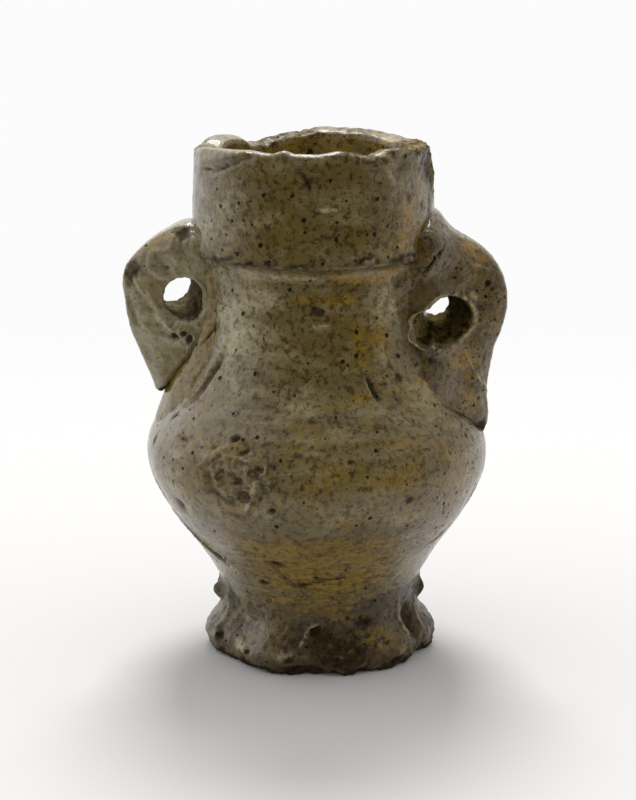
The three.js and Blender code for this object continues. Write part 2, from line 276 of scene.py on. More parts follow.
class Clay:
    """A piece of clay being worked: its mesh, the places of its points and what is painted on them."""

    # A stroke ends this many lengths from its middle. Its raised lip lies so far out, in half widths.
    STROKE_REACH = 1.6
    LIP_PLACE = 1.5
    LIP_WIDTH = 0.4

    def __init__(self, name: str, form: bmesh.types.BMesh) -> None:
        """Take over a finished form.

        Args:
            name: The piece's name.
            form: Its shape in millimetres, which is freed.
        """
        self.name = name
        self.mesh = bpy.data.meshes.new(name)
        form.to_mesh(self.mesh)
        form.free()
        flat = np.empty(len(self.mesh.vertices) * 3)
        self.mesh.vertices.foreach_get("co", flat)
        self.points = flat.reshape(-1, 3)
        self.paint = np.zeros((len(self.points), len(Tone)))
        self.iron = np.zeros(len(self.points))

    @property
    def turns(self) -> np.ndarray:
        """Degrees round the jar of each point, from 0 to 360."""
        return np.degrees(np.arctan2(self.points[:, 1], self.points[:, 0])) % 360

    @property
    def radii(self) -> np.ndarray:
        """Distance of each point from the jar's axis."""
        return np.hypot(self.points[:, 0], self.points[:, 1])

    def normals(self) -> np.ndarray:
        """Give the outward direction at each point as it lies now."""
        self.mesh.vertices.foreach_set("co", self.points.ravel())
        self.mesh.update()
        flat = np.empty(len(self.points) * 3)
        self.mesh.vertex_normals.foreach_get("vector", flat)
        return flat.reshape(-1, 3)

    def grain(self, size: float | Sequence[float], seed: float, octaves: int = 1) -> np.ndarray:
        """Give smooth noise at each point.

        Args:
            size: Size of the lumps in millimetres, the same all ways or one for each axis.
            seed: Offset that picks the pattern.
            octaves: How many finer layers are added.

        Returns:
            A value from about -1 to 1 for each point.
        """
        places = (self.points / np.asarray(size) + seed).tolist()
        if octaves == 1:
            return np.array([noise.noise(p) for p in places])
        return np.array([noise.fractal(p, 1.0, 2.0, octaves) for p in places])

    def push(self, amount: np.ndarray) -> None:
        """Move each point outwards along its normal by its amount."""
        self.points += self.normals() * amount[:, None]

    def tint(self, tone: Tone, amount: np.ndarray) -> None:
        """Lay a tone over what is painted already."""
        channel = self.paint[:, tone.value]
        self.paint[:, tone.value] = np.maximum(channel, np.clip(amount, 0, 1))

    def bleed_iron(self, centre: Vector, radius: float) -> None:
        """Lay a cone, 1 in an iron spot's middle and a half at its edge, where the glaze cuts it off."""
        distance = np.linalg.norm(self.points - np.array(centre), axis=1)
        self.iron = np.maximum(self.iron, 1 - distance / (2 * radius))

    def press(self, strokes: Sequence[Stroke], place: Place, reach: float = 3.0) -> None:
        """Press a set of strokes into the surface.

        Args:
            strokes: The marks.
            place: Gives a stroke's place, level direction and outward normal from turn and height.
            reach: How far below the surface a stroke still counts, in millimetres.
        """
        ragged = self.grain(1.1, 31.7, 3)
        push = np.zeros(len(self.points))
        for stroke in strokes:
            centre, level, normal = place(stroke.turn, stroke.height)
            lie = Matrix.Rotation(math.radians(stroke.lie), 3, normal)
            along = lie @ level
            across = lie @ normal.cross(level)
            offset = self.points - np.array(centre)
            extent = self.STROKE_REACH * max(stroke.length, stroke.width) + 1
            near = np.linalg.norm(offset, axis=1) < extent
            offset = offset[near]
            u = offset @ np.array(along) / (stroke.length / 2)
            v = offset @ np.array(across) / (stroke.width / 2)
            w = np.abs(offset @ np.array(normal)) / reach
            spread = (np.abs(u) ** stroke.sharp + np.abs(v) ** stroke.sharp) ** (1 / stroke.sharp)
            spread = np.maximum(spread * (1 + 0.6 * stroke.ragged * ragged[near]), 0)
            fade = np.exp(-np.maximum(w - 1, 0) ** 2 * 4)
            dent = np.exp(-spread ** stroke.sharp) * fade
            ring = np.exp(-((spread - self.LIP_PLACE) / self.LIP_WIDTH) ** 2) * fade
            push[near] += -stroke.depth * dent + abs(stroke.depth) * stroke.lip * ring
            if stroke.tone:
                laid = dent * (1.5 + stroke.ragged * ragged[near]) * stroke.amount
                channel = self.paint[:, stroke.tone.value]
                channel[near] = np.maximum(channel[near], np.clip(laid, 0, 1))
        self.push(push)

    def finish(
        self, section: Section, material: bpy.types.Material, node: str, slot: str,
    ) -> bpy.types.Object:
        """Let the piece lean with the jar, and put it in the scene in place of its solid.

        Args:
            section: The jar's section, which knows how the jar leans.
            material: The finish.
            node: The solid that the piece stands for.
            slot: The record's material slot, which is not used.

        Returns:
            The piece's object.
        """
        self.points[:, 0] += section.lean(self.points[:, 2])
        self.points *= MM
        self.mesh.vertices.foreach_set("co", self.points.ravel())
        attribute = self.mesh.attributes.new(PAINT, "FLOAT_COLOR", "POINT")
        attribute.data.foreach_set("color", self.paint.ravel())
        self.mesh.attributes.new(IRON, "FLOAT", "POINT").data.foreach_set("value", self.iron)
        self.mesh.shade_smooth()
        self.mesh.update()
        self.mesh.materials.append(material)
        piece = bpy.data.objects.new(self.name, self.mesh)
        bpy.context.scene.collection.objects.link(piece)
        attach(piece, BODY)
        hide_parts(node)
        log.info("%s: %d faces", self.name, len(self.mesh.polygons))
        return piece


def spun(form: bmesh.types.BMesh, steps: int) -> bmesh.types.BMesh:
    """Spin a line once round the Z axis into a closed skin.

    Args:
        form: The line, in the XZ plane.
        steps: How many steps the turn takes.

    Returns:
        The skin, with its seams and poles merged and its faces pointing out.
    """
    bmesh.ops.spin(
        form, geom=form.verts[:] + form.edges[:], cent=(0, 0, 0), axis=(0, 0, 1), dvec=(0, 0, 0),
        angle=2 * math.pi, steps=steps, use_merge=True, use_normal_flip=False, use_duplicate=False,
    )
    bmesh.ops.remove_doubles(form, verts=form.verts, dist=1e-5)
    bmesh.ops.recalc_face_normals(form, faces=form.faces)
    return form


def drawn(line: Sequence[Vector], closed: bool = False) -> bmesh.types.BMesh:
    """Draw a line of points joined by edges.

    Args:
        line: The points.
        closed: Whether the last one joins the first.

    Returns:
        The line.
    """
    form = bmesh.new()
    points = [form.verts.new(p) for p in line]
    for pair in zip(points, points[1:] + points[:1] if closed else points[1:]):
        form.edges.new(pair)
    return form


def ring_of_clay(name: str, steps: int, across: int) -> tuple[Clay, np.ndarray, np.ndarray, np.ndarray]:
    """Roll a round ring of clay, to be laid out by what each of its points is.

    Args:
        name: The piece's name.
        steps: Steps round the ring.
        across: Steps round its section.

    Returns:
        The clay, and for each point its angle round the ring in radians, then how far out and how far
        up it lies on the section, from -1 to 1.
    """
    radius = 3.0
    form = bmesh.new()
    bmesh.ops.create_circle(form, cap_ends=False, radius=1.0, segments=across)
    bmesh.ops.rotate(form, verts=form.verts, cent=(0, 0, 0), matrix=Matrix.Rotation(math.pi / 2, 3, "X"))
    bmesh.ops.translate(form, verts=form.verts, vec=(radius, 0, 0))
    clay = Clay(name, spun(form, steps))
    x, y, up = clay.points.T
    return clay, np.arctan2(y, x), np.hypot(x, y) - radius, up.copy()


@dataclass
class ThrownVessel:
    """The thrown body: base, belly, shoulder, throat, ledge, neck and worn rim, in one piece of clay."""

    section: Section
    steps: int = 300
    crowding: float = 0.36
    outer_spacing: float = 0.47
    inner_spacing: float = 2.5
    bore_spacing: float = 0.9
    lip_spacing: float = 0.45
    ring_depth: float = 0.06
    lump_depth: float = 0.2
    lip_fullness: float = 0.6
    shoulder_ridges: Sequence[float] = (56.1, 52.4, 50.9, 48.6)
    shoulder_ridge_width: float = 0.7
    shoulder_ridge_height: float = 0.14
    scar_place: tuple[float, float] = (241.5, 41.0)
    scar_reach: tuple[float, float] = (15.5, 6.6)
    fold_height: float = 0.34
    rim_reach: float = 7.0
    inner_spot: tuple[float, float] = (92.0, 95.5)
    rim_line: Sequence[tuple[float, float]] = (
        (0, 0.7), (14, 0.4), (21, 0.6), (33, 0.9), (44, 0.5), (57, 0.1), (75, 0.0), (86, 0.0),
        (98, 0.7), (112, 1.5), (120, 2.2), (131, 2.3), (137, 0.8), (150, 0.2), (160, 0.5),
        (166, 1.3), (180, 0.9), (195, 0.4), (207, 0.0), (222, -0.4), (236, -0.6), (250, -0.3),
        (256, -0.9), (261, -0.3), (273, -0.1), (284, -0.7), (290, -0.5), (296, 0.1), (301, 0.5),
        (306, -0.2), (310, -0.6), (320, -0.7), (334, -0.3), (346, 0.6),
    )
    iron_spots: Sequence[tuple[float, float]] = (
        (260.6, 93), (225.8, 84.8), (238.4, 94), (245.3, 83.7), (232.7, 81.6), (228.5, 81), (249.5, 80.8),
        (236.1, 88), (278.3, 95.7), (300.9, 92), (303, 94.8), (320.2, 91.8), (286.1, 89.1), (280.3, 85),
        (281.7, 85.9), (279.8, 83.8), (302.3, 84.1), (306, 86.9), (274.2, 80.7), (261, 67.6), (257.7, 75.3),
        (268, 77), (291.1, 67.2), (290.2, 63), (266.6, 61.9), (283.1, 62.1), (285.4, 61.4), (313.6, 61.8),
        (286.2, 55.2), (245.6, 55.3), (243, 52.5), (237.5, 52.4), (240.9, 59.5), (291, 47), (298.6, 43.8),
        (301.3, 37.4), (332.5, 35.2), (285.3, 28.3), (287.6, 34.6), (258, 45.7), (251.1, 49.1), (248, 49.1),
        (222, 90), (216, 87), (231, 70), (223, 74), (318, 70), (308, 66), (256, 33), (270, 37), (312, 30),
        (215, 83.5), (219, 93), (226, 94.5), (233.5, 91), (251, 88.6), (266, 88.6), (247, 92.8),
        (236, 85.4), (289, 81), (311.5, 82.6), (299, 85.6), (215, 70), (228, 63), (221, 57.5),
        (233, 48.6), (228, 38), (211, 51), (206, 46), (303, 57.5), (321, 57), (326, 52), (333, 41),
        (318, 34.6), (263, 14.4),
    )

    def form(self) -> bmesh.types.BMesh:
        """Draw the whole section, outside, lip, inside and floor, and spin it."""
        s = self.section.sizes
        outer = resampled(self.section.outer, self.outer_spacing)
        rise = Vector((0, 0, s.lip_rounding * self.lip_fullness))
        level = Vector((s.lip_crest * self.lip_fullness, 0, 0))
        crest = Vector((s.rim_radius - s.lip_crest, 0, s.height))
        bore_top = Vector((s.rim_radius - s.neck_wall, 0, s.height - s.lip_rounding))
        lip = interpolate_bezier(outer[-1], outer[-1] + rise, crest + level, crest, 8)
        lip += interpolate_bezier(crest, crest - level, bore_top + rise, bore_top, 10)[1:]
        belly = Vector((s.belly_radius - s.body_wall, 0, s.belly_height))
        throat = Vector((s.throat_radius - s.body_wall, 0, s.throat_height))
        floor = Vector((s.base_radius - s.body_wall, 0, s.base_height + s.floor_thickness))
        inner = bow(throat, -s.throat_drop, belly, s.belly_rise, 30)
        inner += bow(belly, -s.belly_rise, floor, s.waist_rise, 30)[1:]
        line = [Vector((0, 0, s.base_height)), *outer]
        line += resampled(lip, self.lip_spacing)[1:]
        line += resampled([bore_top, throat], self.bore_spacing)[1:]
        line += resampled(inner, self.inner_spacing)[1:]
        line += resampled([floor, Vector((0, 0, floor.z))], self.inner_spacing)[1:]
        return spun(drawn(line), self.steps)

    def crowd(self, clay: Clay) -> None:
        """Bring the points closer together on the marked front, and let them thin out behind."""
        turns = np.radians(clay.turns)
        crowded = turns - self.crowding * np.cos(turns)
        radius = clay.radii
        clay.points[:, 0] = radius * np.cos(crowded)
        clay.points[:, 1] = radius * np.sin(crowded)

    def outside(self, clay: Clay) -> np.ndarray:
        """Give 1 on the outer wall and 0 inside the jar."""
        return ease(-1.5, -0.3, clay.radii - self.section.radius(clay.points[:, 2]))

    def throwing(self, clay: Clay) -> None:
        """Leave the marks of the wheel: rings, slow lumps and ridges where the belly was turned in."""
        height = clay.points[:, 2]
        outside = self.outside(clay)
        rings = clay.grain((26, 26, 1.9), 3.1) + 0.5 * clay.grain((18, 18, 0.9), 8.4)
        lumps = clay.grain(15, 12.3, 2)
        ridges = sum(np.exp(-((height - z) / self.shoulder_ridge_width) ** 2) for z in self.shoulder_ridges)
        push = self.ring_depth * rings + self.lump_depth * lumps + 0.05 * clay.grain(1.9, 5.5, 2)
        inner_rings = 0.35 * clay.grain((20, 20, 3.2), 7.7)
        clay.push(outside * (push + self.shoulder_ridge_height * ridges) + (1 - outside) * inner_rings)

    def wear_rim(self, clay: Clay) -> None:
        """Wear the rim down to its uneven line, and roughen it where it is chipped. Its upward-facing crest
        is paled, partly as paler chipped clay and partly as a painted highlight.
        """
        top = self.section.sizes.height
        near = ease(top - self.rim_reach, top, clay.points[:, 2])
        turns, drops = zip(*self.rim_line)
        drop = np.interp(clay.turns, turns, drops, period=360)
        rough = self.broken(clay.turns)
        crown = ease(top - 2.6, top - 1.2, clay.points[:, 2])
        clay.points[:, 2] -= near * (drop + np.abs(clay.grain(2.6, 17.2, 3)) * (0.15 + 0.6 * rough))
        clay.push(crown * rough * (0.4 * clay.grain(2.0, 19.0, 2) - 0.1))
        upward = ease(0.35, 0.85, clay.normals()[:, 2])
        clay.tint(Tone.BARE, crown * upward * (0.25 + 0.75 * rough) * (1 + 0.6 * clay.grain(1.6, 40.0, 2)))
        # Partly pale clay where the rim is chipped, partly a painted highlight on the upward-facing crest,
        # where light falls on top of the rim.
        clay.tint(Tone.PALE, crown * upward * (0.1 + 0.5 * rough) * (1 + 0.9 * clay.grain(1.2, 44.0, 2)))
        clay.tint(Tone.DARK, crown * rough * ease(0.05, 0.35, clay.grain(1.1, 46.0, 3)))

    @staticmethod
    def broken(turns: np.ndarray) -> np.ndarray:
        """Give how broken the rim is at each turn: rough at the right and behind, smooth in front."""
        places = (
            (6, 24, 1.0), (112, 16, 0.7), (94, 8, 0.6), (62, 18, 0.4), (293, 9, 0.7), (306, 6, 0.5),
            (326, 15, 0.9), (182, 12, 0.6),
        )
        return sum(
            amount * np.exp(-((apart(turns, turn) / width) ** 4)) for turn, width, amount in places
        )

    def gouges(self) -> list[Stroke]:
        """List the slits, pits and dents."""
        dark = Tone.DARK
        return [
            Stroke(213.5, 57.6, 13, 1.6, 0.8, 64, 2.6, 0.5, 0.0, dark, 0.5),
            Stroke(211.4, 57.4, 12, 0.7, -0.35, 64, 2, 0.5, 0.0, Tone.PALE, 0.3),
            Stroke(295.8, 57, 4.6, 1.0, 0.9, -74, 2.4, 0.1, 0.0, dark, 1.2),
            Stroke(294.2, 57.4, 4.6, 0.6, -0.25, -74, 2, 0.2, 0.0, Tone.PALE, 0.5),
            Stroke(212, 24.2, 10, 1.5, 0.9, -38, 3.4, 0.4, 0.3, dark, 1.3),
            Stroke(255, 20.2, 12.5, 0.7, 0.4, -57, 2, 0.3, 0.6, dark, 0.5),
            Stroke(256.3, 20.2, 12, 0.6, -0.3, -57, 2, 0.4, 0.0, Tone.PALE, 0.35),
            Stroke(252, 23.6, 3.6, 1.1, 0.4, -28, 2, 0.3, 0.4, dark, 0.7),
            Stroke(241.6, 18.4, 1.6, 1.1, 0.7, -20, 2, 0.3, 0.4, dark, 1.3),
            Stroke(239.9, 48.4, 1.8, 1.1, 0.7, 30, 2, 0.3, 0.5, dark, 1.2),
            Stroke(217, 46.6, 4.8, 1.7, 0.4, -8, 2, 1.2, 0.2, dark, 0.42),
            Stroke(214, 33.3, 3.4, 2.4, 0.5, -50, 2, 0.4, 0.0, dark, 0.55),
            Stroke(291.4, 45.3, 6.0, 0.35, 0.2, 82, 2, 0.5, 0.2, dark, 0.5),
            Stroke(281, 45.5, 0.9, 0.8, 0.5, 0, 2, 0.2, 0.3, dark, 1.2),
            Stroke(255.5, 36.3, 1.3, 1.1, 0.6, 0, 2, 0.2, 0.6, dark, 1.2),
            Stroke(322, 49, 5.0, 0.5, 0.25, 70, 2, 0.4, 0.3, dark, 0.4),
            Stroke(196, 34, 4.0, 1.0, 0.5, -55, 2, 0.5, 0.3, dark, 0.8),
            Stroke(197, 44, 3.0, 0.8, 0.4, 75, 2, 0.5, 0.3, dark, 0.7),
            Stroke(203, 49, 2.4, 0.8, 0.4, 70, 2, 0.5, 0.3, dark, 0.7),
            Stroke(342, 33, 2.6, 0.9, 0.5, 60, 2, 0.4, 0.4, dark, 0.8),
            Stroke(334, 46, 1.4, 0.8, 0.4, 60, 2, 0.4, 0.4, dark, 0.6),
            Stroke(330, 26, 5.0, 0.8, 0.35, 35, 2, 0.5, 0.4, dark, 0.6),
            Stroke(345, 47.8, 11.0, 1.2, 0.35, -41, 2.2, 0.6, 0.0, dark, 0.75),
            Stroke(351.5, 45.8, 2.4, 1.6, 0.3, -50, 2.2, 0.5, 0.0, dark, 1.1),
        ]

    def folded_lip(self) -> list[Stroke]:
        """List the strokes of the lip, folded over at the front left, and of the chips beside it."""
        dark, pale = Tone.DARK, Tone.PALE
        return [
            Stroke(211, 96.2, 6.0, 0.7, 0.6, -4, 2, 0.7, 0.0, dark, 0.45),
            Stroke(224, 96.9, 6.0, 0.7, 0.65, 18, 2, 0.7, 0.0, dark, 0.5),
            Stroke(236, 98.6, 5.5, 0.7, 0.5, 18, 2, 0.7, 0.0, dark, 0.4),
            Stroke(222, 98.3, 12.0, 1.9, -0.5, 8, 2.4, 0.3),
            Stroke(204, 97.4, 2.8, 2.4, -0.4, 0, 2, 0.6, 0, pale, 0.5),
            Stroke(300, 97.6, 4.5, 1.2, 0.4, -12, 2, 0.6, 0, Tone.BARE, 0.7),
            Stroke(308, 96.4, 3.4, 0.9, -0.35, -52, 2, 0.4, 0, pale, 0.6),
            Stroke(318, 97.2, 5.0, 1.8, 0.35, 20, 2, 0.5, 0, dark, 0.4),
            Stroke(345, 96.0, 2.2, 8.0, 0.45, 0, 2.4, 0.9, 0.4, dark, 0.5),
            Stroke(350, 94.5, 1.6, 6.0, -0.4, 0, 2, 0.7, 0.0, Tone.BARE, 0.8),
            Stroke(340, 95.5, 3.6, 6.0, 0.12, 0, 2, 1.7, 0.3, dark, 0.6),
            Stroke(333, 96.6, 4.0, 2.4, 0.15, 10, 2, 1.6, 0.3, dark, 0.5),
            Stroke(341, 87.0, 2.6, 9.0, 0.1, 0, 2, 1.6, 0.2, dark, 0.45),
        ]

    def scar(self) -> list[Stroke]:
        """List the ridges and hollows of the scar on the belly, where something stuck in the kiln."""
        dark, pale = Tone.DARK, Tone.PALE
        return [
            Stroke(239, 42, 17, 14, 0.2, 0, 3, 0.5, 0.0, dark, 0.16),
            Stroke(246.5, 44.8, 7.0, 0.7, -0.6, -42, 2, 0.5, 0, pale, 0.3),
            Stroke(240.5, 43.6, 6.0, 0.7, -0.55, -50, 2, 0.5, 0, pale, 0.22),
            Stroke(235.5, 44.6, 4.5, 0.6, -0.4, -42, 2, 0.5, 0, pale, 0.15),
            Stroke(249.3, 40.4, 3.4, 1.5, -0.65, 74, 2, 0.6, 0, pale, 0.55),
            Stroke(247.3, 37.0, 3.4, 0.7, -0.55, 64, 2, 0.4, 0, pale, 0.7),
            Stroke(252.3, 41.6, 3.6, 0.6, -0.45, 34, 2, 0.5, 0, pale, 0.3),
            Stroke(247.2, 42.6, 3.0, 0.6, -0.45, -66, 2, 0.5, 0, pale, 0.35),
            Stroke(243, 41.6, 4.2, 1.6, 0.65, -44, 2, 0.9, 0, dark, 0.55),
            Stroke(237.6, 42.4, 3.6, 1.4, 0.5, -60, 2, 0.9, 0, dark, 0.4),
            Stroke(232.6, 40.6, 4.6, 1.7, 0.5, -70, 2, 0.9, 0, dark, 0.45),
            Stroke(246.2, 38.6, 3.0, 1.6, 0.6, 30, 2, 0.9, 0, dark, 0.4),
            Stroke(251.6, 38.6, 3.2, 1.2, 0.5, 62, 2, 0.5, 0, dark, 0.5),
            Stroke(237, 37.6, 5.4, 1.4, 0.4, -32, 2, 0.5, 0, dark, 0.5),
            Stroke(244.4, 46.6, 2.6, 1.0, 0.5, 24, 2, 0.5, 0, dark, 0.8),
            Stroke(250.5, 44.0, 2.2, 1.3, 0.45, -30, 2, 0.5, 0, dark, 0.6),
            Stroke(255.4, 44.6, 2.4, 1.2, 0.4, -20, 2, 0.5, 0, dark, 0.5),
            Stroke(229.5, 44.0, 4.0, 0.8, -0.35, 62, 2, 0.5, 0, pale, 0.15),
            Stroke(241.5, 34.2, 8.0, 2.0, 0.25, 0, 2, 0.6, 0, dark, 0.35),
            Stroke(232.0, 46.5, 2.4, 0.9, 0.35, 30, 2, 0.5, 0, dark, 0.5),
        ]

    def crumple(self, clay: Clay) -> None:
        """Crumple the clay of the scar into small sharp folds, pale on top and dark between."""
        turn, middle = self.scar_place
        wide, tall = self.scar_reach
        reach = np.hypot(apart(clay.turns, turn) / wide, (clay.points[:, 2] - middle) / tall)
        reach = reach * (1 + 0.35 * clay.grain(3.0, 141.0, 3))
        scarred = ease(1.1, 0.55, reach) * self.outside(clay)
        folds = 1 - 3.2 * np.abs(clay.grain((2.9, 2.9, 2.0), 143.0, 4))
        clay.push(scarred * (self.fold_height * folds - 0.1))
        clay.tint(Tone.DARK, 0.5 * scarred * ease(0.2, -0.6, folds))
        clay.tint(Tone.PALE, 0.3 * scarred * ease(0.62, 0.95, folds))

    def blisters(self) -> list[Stroke]:
        """List the blisters, drips and crusts on the glaze."""
        bare, ochre, dark, pale = Tone.BARE, Tone.OCHRE, Tone.DARK, Tone.PALE
        return [
            Stroke(266.5, 57.2, 3.6, 2.4, -0.3, 20, 2, 0.5, 0, pale, 0.3),
            Stroke(265.5, 58.6, 1.4, 1.0, 0.3, 20, 2, 0.3, 0, dark, 0.5),
            Stroke(273.8, 67.4, 3.0, 2.0, 0.15, 0, 2, 0.2, 1.6, pale, 0.1),
            Stroke(274.2, 68.7, 3.2, 0.6, -0.2, 4, 2, 0.4, 0, pale, 0.55),
            Stroke(269.6, 68.6, 0.9, 0.6, -0.2, 0, 2, 0.3, 0, pale, 0.6),
            Stroke(275.8, 90.5, 1.9, 0.8, -0.25, 10, 2, 0.3, 0, pale, 1.1),
            Stroke(279.3, 90.4, 2.4, 0.5, -0.2, 10, 2, 0.5, 0, pale, 0.9),
            Stroke(200.8, 82.4, 3.4, 2.8, 0.25, 60, 2, 0.2, 1.1, pale, 0.15),
            Stroke(274.5, 20.7, 2.4, 1.2, -0.4, 8, 2, 1.4, 0, bare, 0.35),
            Stroke(279.5, 21.2, 2.6, 1.4, -0.4, 8, 2, 1.4, 0, bare, 0.35),
            Stroke(283.5, 20.8, 1.4, 1.0, -0.3, 0, 2, 1.0, 0, pale, 0.3),
            Stroke(277.0, 20.2, 7.0, 1.0, 0.25, 8, 2, 1.6, 0, dark, 0.6),
            Stroke(270.5, 19.6, 4.0, 1.2, 0.3, 12, 2, 1.4, 0, dark, 0.7),
            Stroke(263, 18.6, 2.8, 1.2, 0.2, 0, 2, 0.9, 0, dark, 0.6),
            Stroke(273, 14.8, 3.0, 1.0, 0.2, 0, 2, 0.9, 0, dark, 0.6),
            Stroke(267, 95.6, 5.4, 1.2, 0.06, -62, 2, 1.6, 0, dark, 0.75),
            Stroke(264, 97.4, 2.6, 0.8, 0.06, -50, 2, 1.6, 0, dark, 0.4),
            Stroke(271.5, 71.3, 2.4, 1.5, 0.05, 0, 2, 0.8, 0, dark, 1.25),
            Stroke(308, 60.2, 2.8, 0.8, 0.05, -60, 2, 1.2, 0, dark, 0.5),
            Stroke(310.8, 58.2, 2.2, 1.2, 0.05, -60, 2, 1.0, 0, dark, 0.95),
            Stroke(301.5, 37.4, 1.8, 1.5, 0.1, 0, 2, 0.6, 0, dark, 0.8),
            Stroke(315.5, 44.4, 2.4, 1.8, 0.05, 0, 2, 0.8, 0, dark, 0.35),
            Stroke(315.5, 42.4, 1.6, 2.4, 0.05, 0, 2, 0.8, 0, dark, 0.25),
            Stroke(332, 89.4, 1.2, 2.0, 0.1, 0, 2, 0.6, 0, dark, 0.6),
            Stroke(219.5, 79.0, 7.0, 1.0, -0.3, -38, 2, 0.5, 0, pale, 0.35),
            Stroke(218.5, 76.4, 6.0, 0.9, 0.35, -42, 2, 0.5, 0, dark, 0.25),
            Stroke(230, 76.6, 4.4, 1.1, 0.25, -34, 2, 0.6, 0, ochre, 0.4),
        ]

    def flushes(self) -> list[Stroke]:
        """List the flushes of colour: ochre where ash gathered, pale where the glaze is thick, and pale as
        painted light on the throat.
        """
        ochre = (
            (304, 77.2, 18, 2.2, 0.7, 0.95, 0, 2.6), (326, 74.5, 8, 4.5, 0.8, 0.6, -30),
            (283, 73.2, 9, 3, 1.2, 0.45), (264, 73.6, 6, 2.4, 1.2, 0.4), (320.5, 88.5, 3.4, 9, 1.1, 0.85),
            (316, 83.5, 7, 5, 1.1, 0.5), (331, 90, 3.2, 13, 1.1, 0.55), (304, 66, 8, 9, 1.1, 0.4),
            (322, 56, 12, 6, 1.1, 0.4), (293, 64.5, 4, 10, 1.1, 0.45), (291, 55.5, 5.5, 2.6, 1.1, 0.5),
            (281, 54.4, 8, 2, 1.1, 0.4), (310, 56, 8, 3, 1.1, 0.35, -20), (300, 47.6, 15, 2.4, 1.1, 0.3),
            (302, 43.4, 12, 4, 1.1, 0.24), (275, 43, 16, 4, 1.1, 0.22), (262, 38, 14, 3, 1.1, 0.3),
        )
        pale = (
            (225, 51.5, 14, 5, 1.0, 0.16), (263, 54.4, 12, 3.4, 1.0, 0.3), (279, 50.6, 15, 2.2, 1.1, 0.16),
            # The pale rows at turns 226 and 240 on this line, and at 309 on the next, are painted light
            # where light falls on the throat.
            (226, 67, 15, 16, 0.6, 0.5), (240, 73, 14, 6, 0.8, 0.36), (236, 57, 10, 8, 0.8, 0.12),
            (309, 71, 9, 7, 0.9, 0.5), (304, 63, 5, 6, 0.9, 0.35), (283, 69, 7, 3, 0.9, 0.14),
            (317, 53, 16, 7, 1.3, 0.26), (330, 42, 10, 12, 1.3, 0.1), (218, 88, 12, 16, 0.8, 0.24, 0, 3),
            (240, 90, 14, 12, 0.9, 0.14), (308, 33, 14, 5, 1.0, 0.2), (283, 34.5, 16, 4, 1.2, 0.2),
            (310, 21, 14, 10, 0.8, 0.26), (215, 40, 12, 16, 0.8, 0.2), (228, 26, 10, 12, 0.8, 0.22, -30),
        )
        return [
            *(Stroke.flush(Tone.OCHRE, *row) for row in ochre),
            *(Stroke.flush(Tone.PALE, *row) for row in pale),
            Stroke(321, 91.5, 1.8, 1.6, 0.1, 0, 2, 0.8, 0, Tone.DARK, 0.6),
        ]

    def bleed_spots(self, clay: Clay) -> None:
        """Let the large iron spots show, each of its own size, and one behind the mouth's far wall."""
        for turn, height in self.iron_spots:
            clay.bleed_iron(self.section.spot(turn, height)[0], 0.36 + 0.14 * math.sin(turn * 7))
        place, _, _ = self.section.spot(*self.inner_spot)
        inward = Vector((place.x, place.y, 0)).normalized() * self.section.sizes.neck_wall
        clay.bleed_iron(place - inward, 0.8)

    def stain(self, clay: Clay) -> None:
        """Stain the foot of the neck, paint the light thrown up under the ledge, and flush the body ochre
        where ash blew against it.
        """
        height, turns = clay.points[:, 2], clay.turns
        ledge = self.section.sizes.ledge_height
        line = np.exp(-((height - ledge - 0.9) / 0.9) ** 2)
        left = 0.25 + 0.75 * np.exp(-((apart(turns, 238) / 24) ** 2))
        clay.tint(Tone.DARK, line * left * (0.62 + 1.5 * clay.grain((2.2, 2.2, 1.1), 21.0, 3)))
        smear = np.exp(-((height - ledge - 1.5) / 1.3) ** 2) * np.exp(-((apart(turns, 308) / 26) ** 4))
        clay.tint(Tone.DARK, smear * (0.5 + 1.3 * clay.grain((2.4, 2.4, 1.3), 23.0, 3)))
        clay.tint(Tone.PALE, 0.6 * smear * (0.3 + 1.1 * clay.grain((2.0, 2.0, 1.2), 25.0, 2)))
        # Painted reflection: a pale ochre band under the ledge stands in for light thrown up into the
        # undercut from the shoulder and floor.
        under = np.exp(-((height - ledge + 1.8) / 1.2) ** 2) * np.exp(-((apart(turns, 250) / 26) ** 4))
        clay.tint(Tone.OCHRE, 0.5 * under)
        clay.tint(Tone.PALE, 0.5 * under)
        front = np.exp(-((apart(turns, 272) / 38) ** 4))
        ash = ease(10, 21, height) * ease(33.5, 27.5, height)
        clay.tint(Tone.OCHRE, ash * front * (0.85 + 0.5 * clay.grain((7, 7, 2.0), 27.0, 3)))
        flushed = ease(62, 48, height) * (0.24 + 0.06 * np.cos(np.radians(turns)))
        clay.tint(Tone.OCHRE, flushed + 0.3 * clay.grain((6, 6, 4), 29.0, 3) * ease(70, 55, height))
        inner = (1 - self.outside(clay)) * ease(78, 92, height)
        clay.tint(Tone.OCHRE, inner * (0.45 + 0.6 * clay.grain((4, 4, 6), 33.0, 2)))

    def build(self, material: bpy.types.Material) -> bpy.types.Object:
        """Model and dress the vessel.

        Args:
            material: Its finish.

        Returns:
            The vessel's object.
        """
        clay = Clay("jar_body", self.form())
        self.crowd(clay)
        self.throwing(clay)
        self.stain(clay)
        marks = self.gouges() + self.folded_lip() + self.scar() + self.blisters()
        clay.press(marks + self.flushes(), self.section.spot)
        self.crumple(clay)
        self.bleed_spots(clay)
        self.wear_rim(clay)
        return clay.finish(self.section, material, "thrown_vessel", "glazed_body")


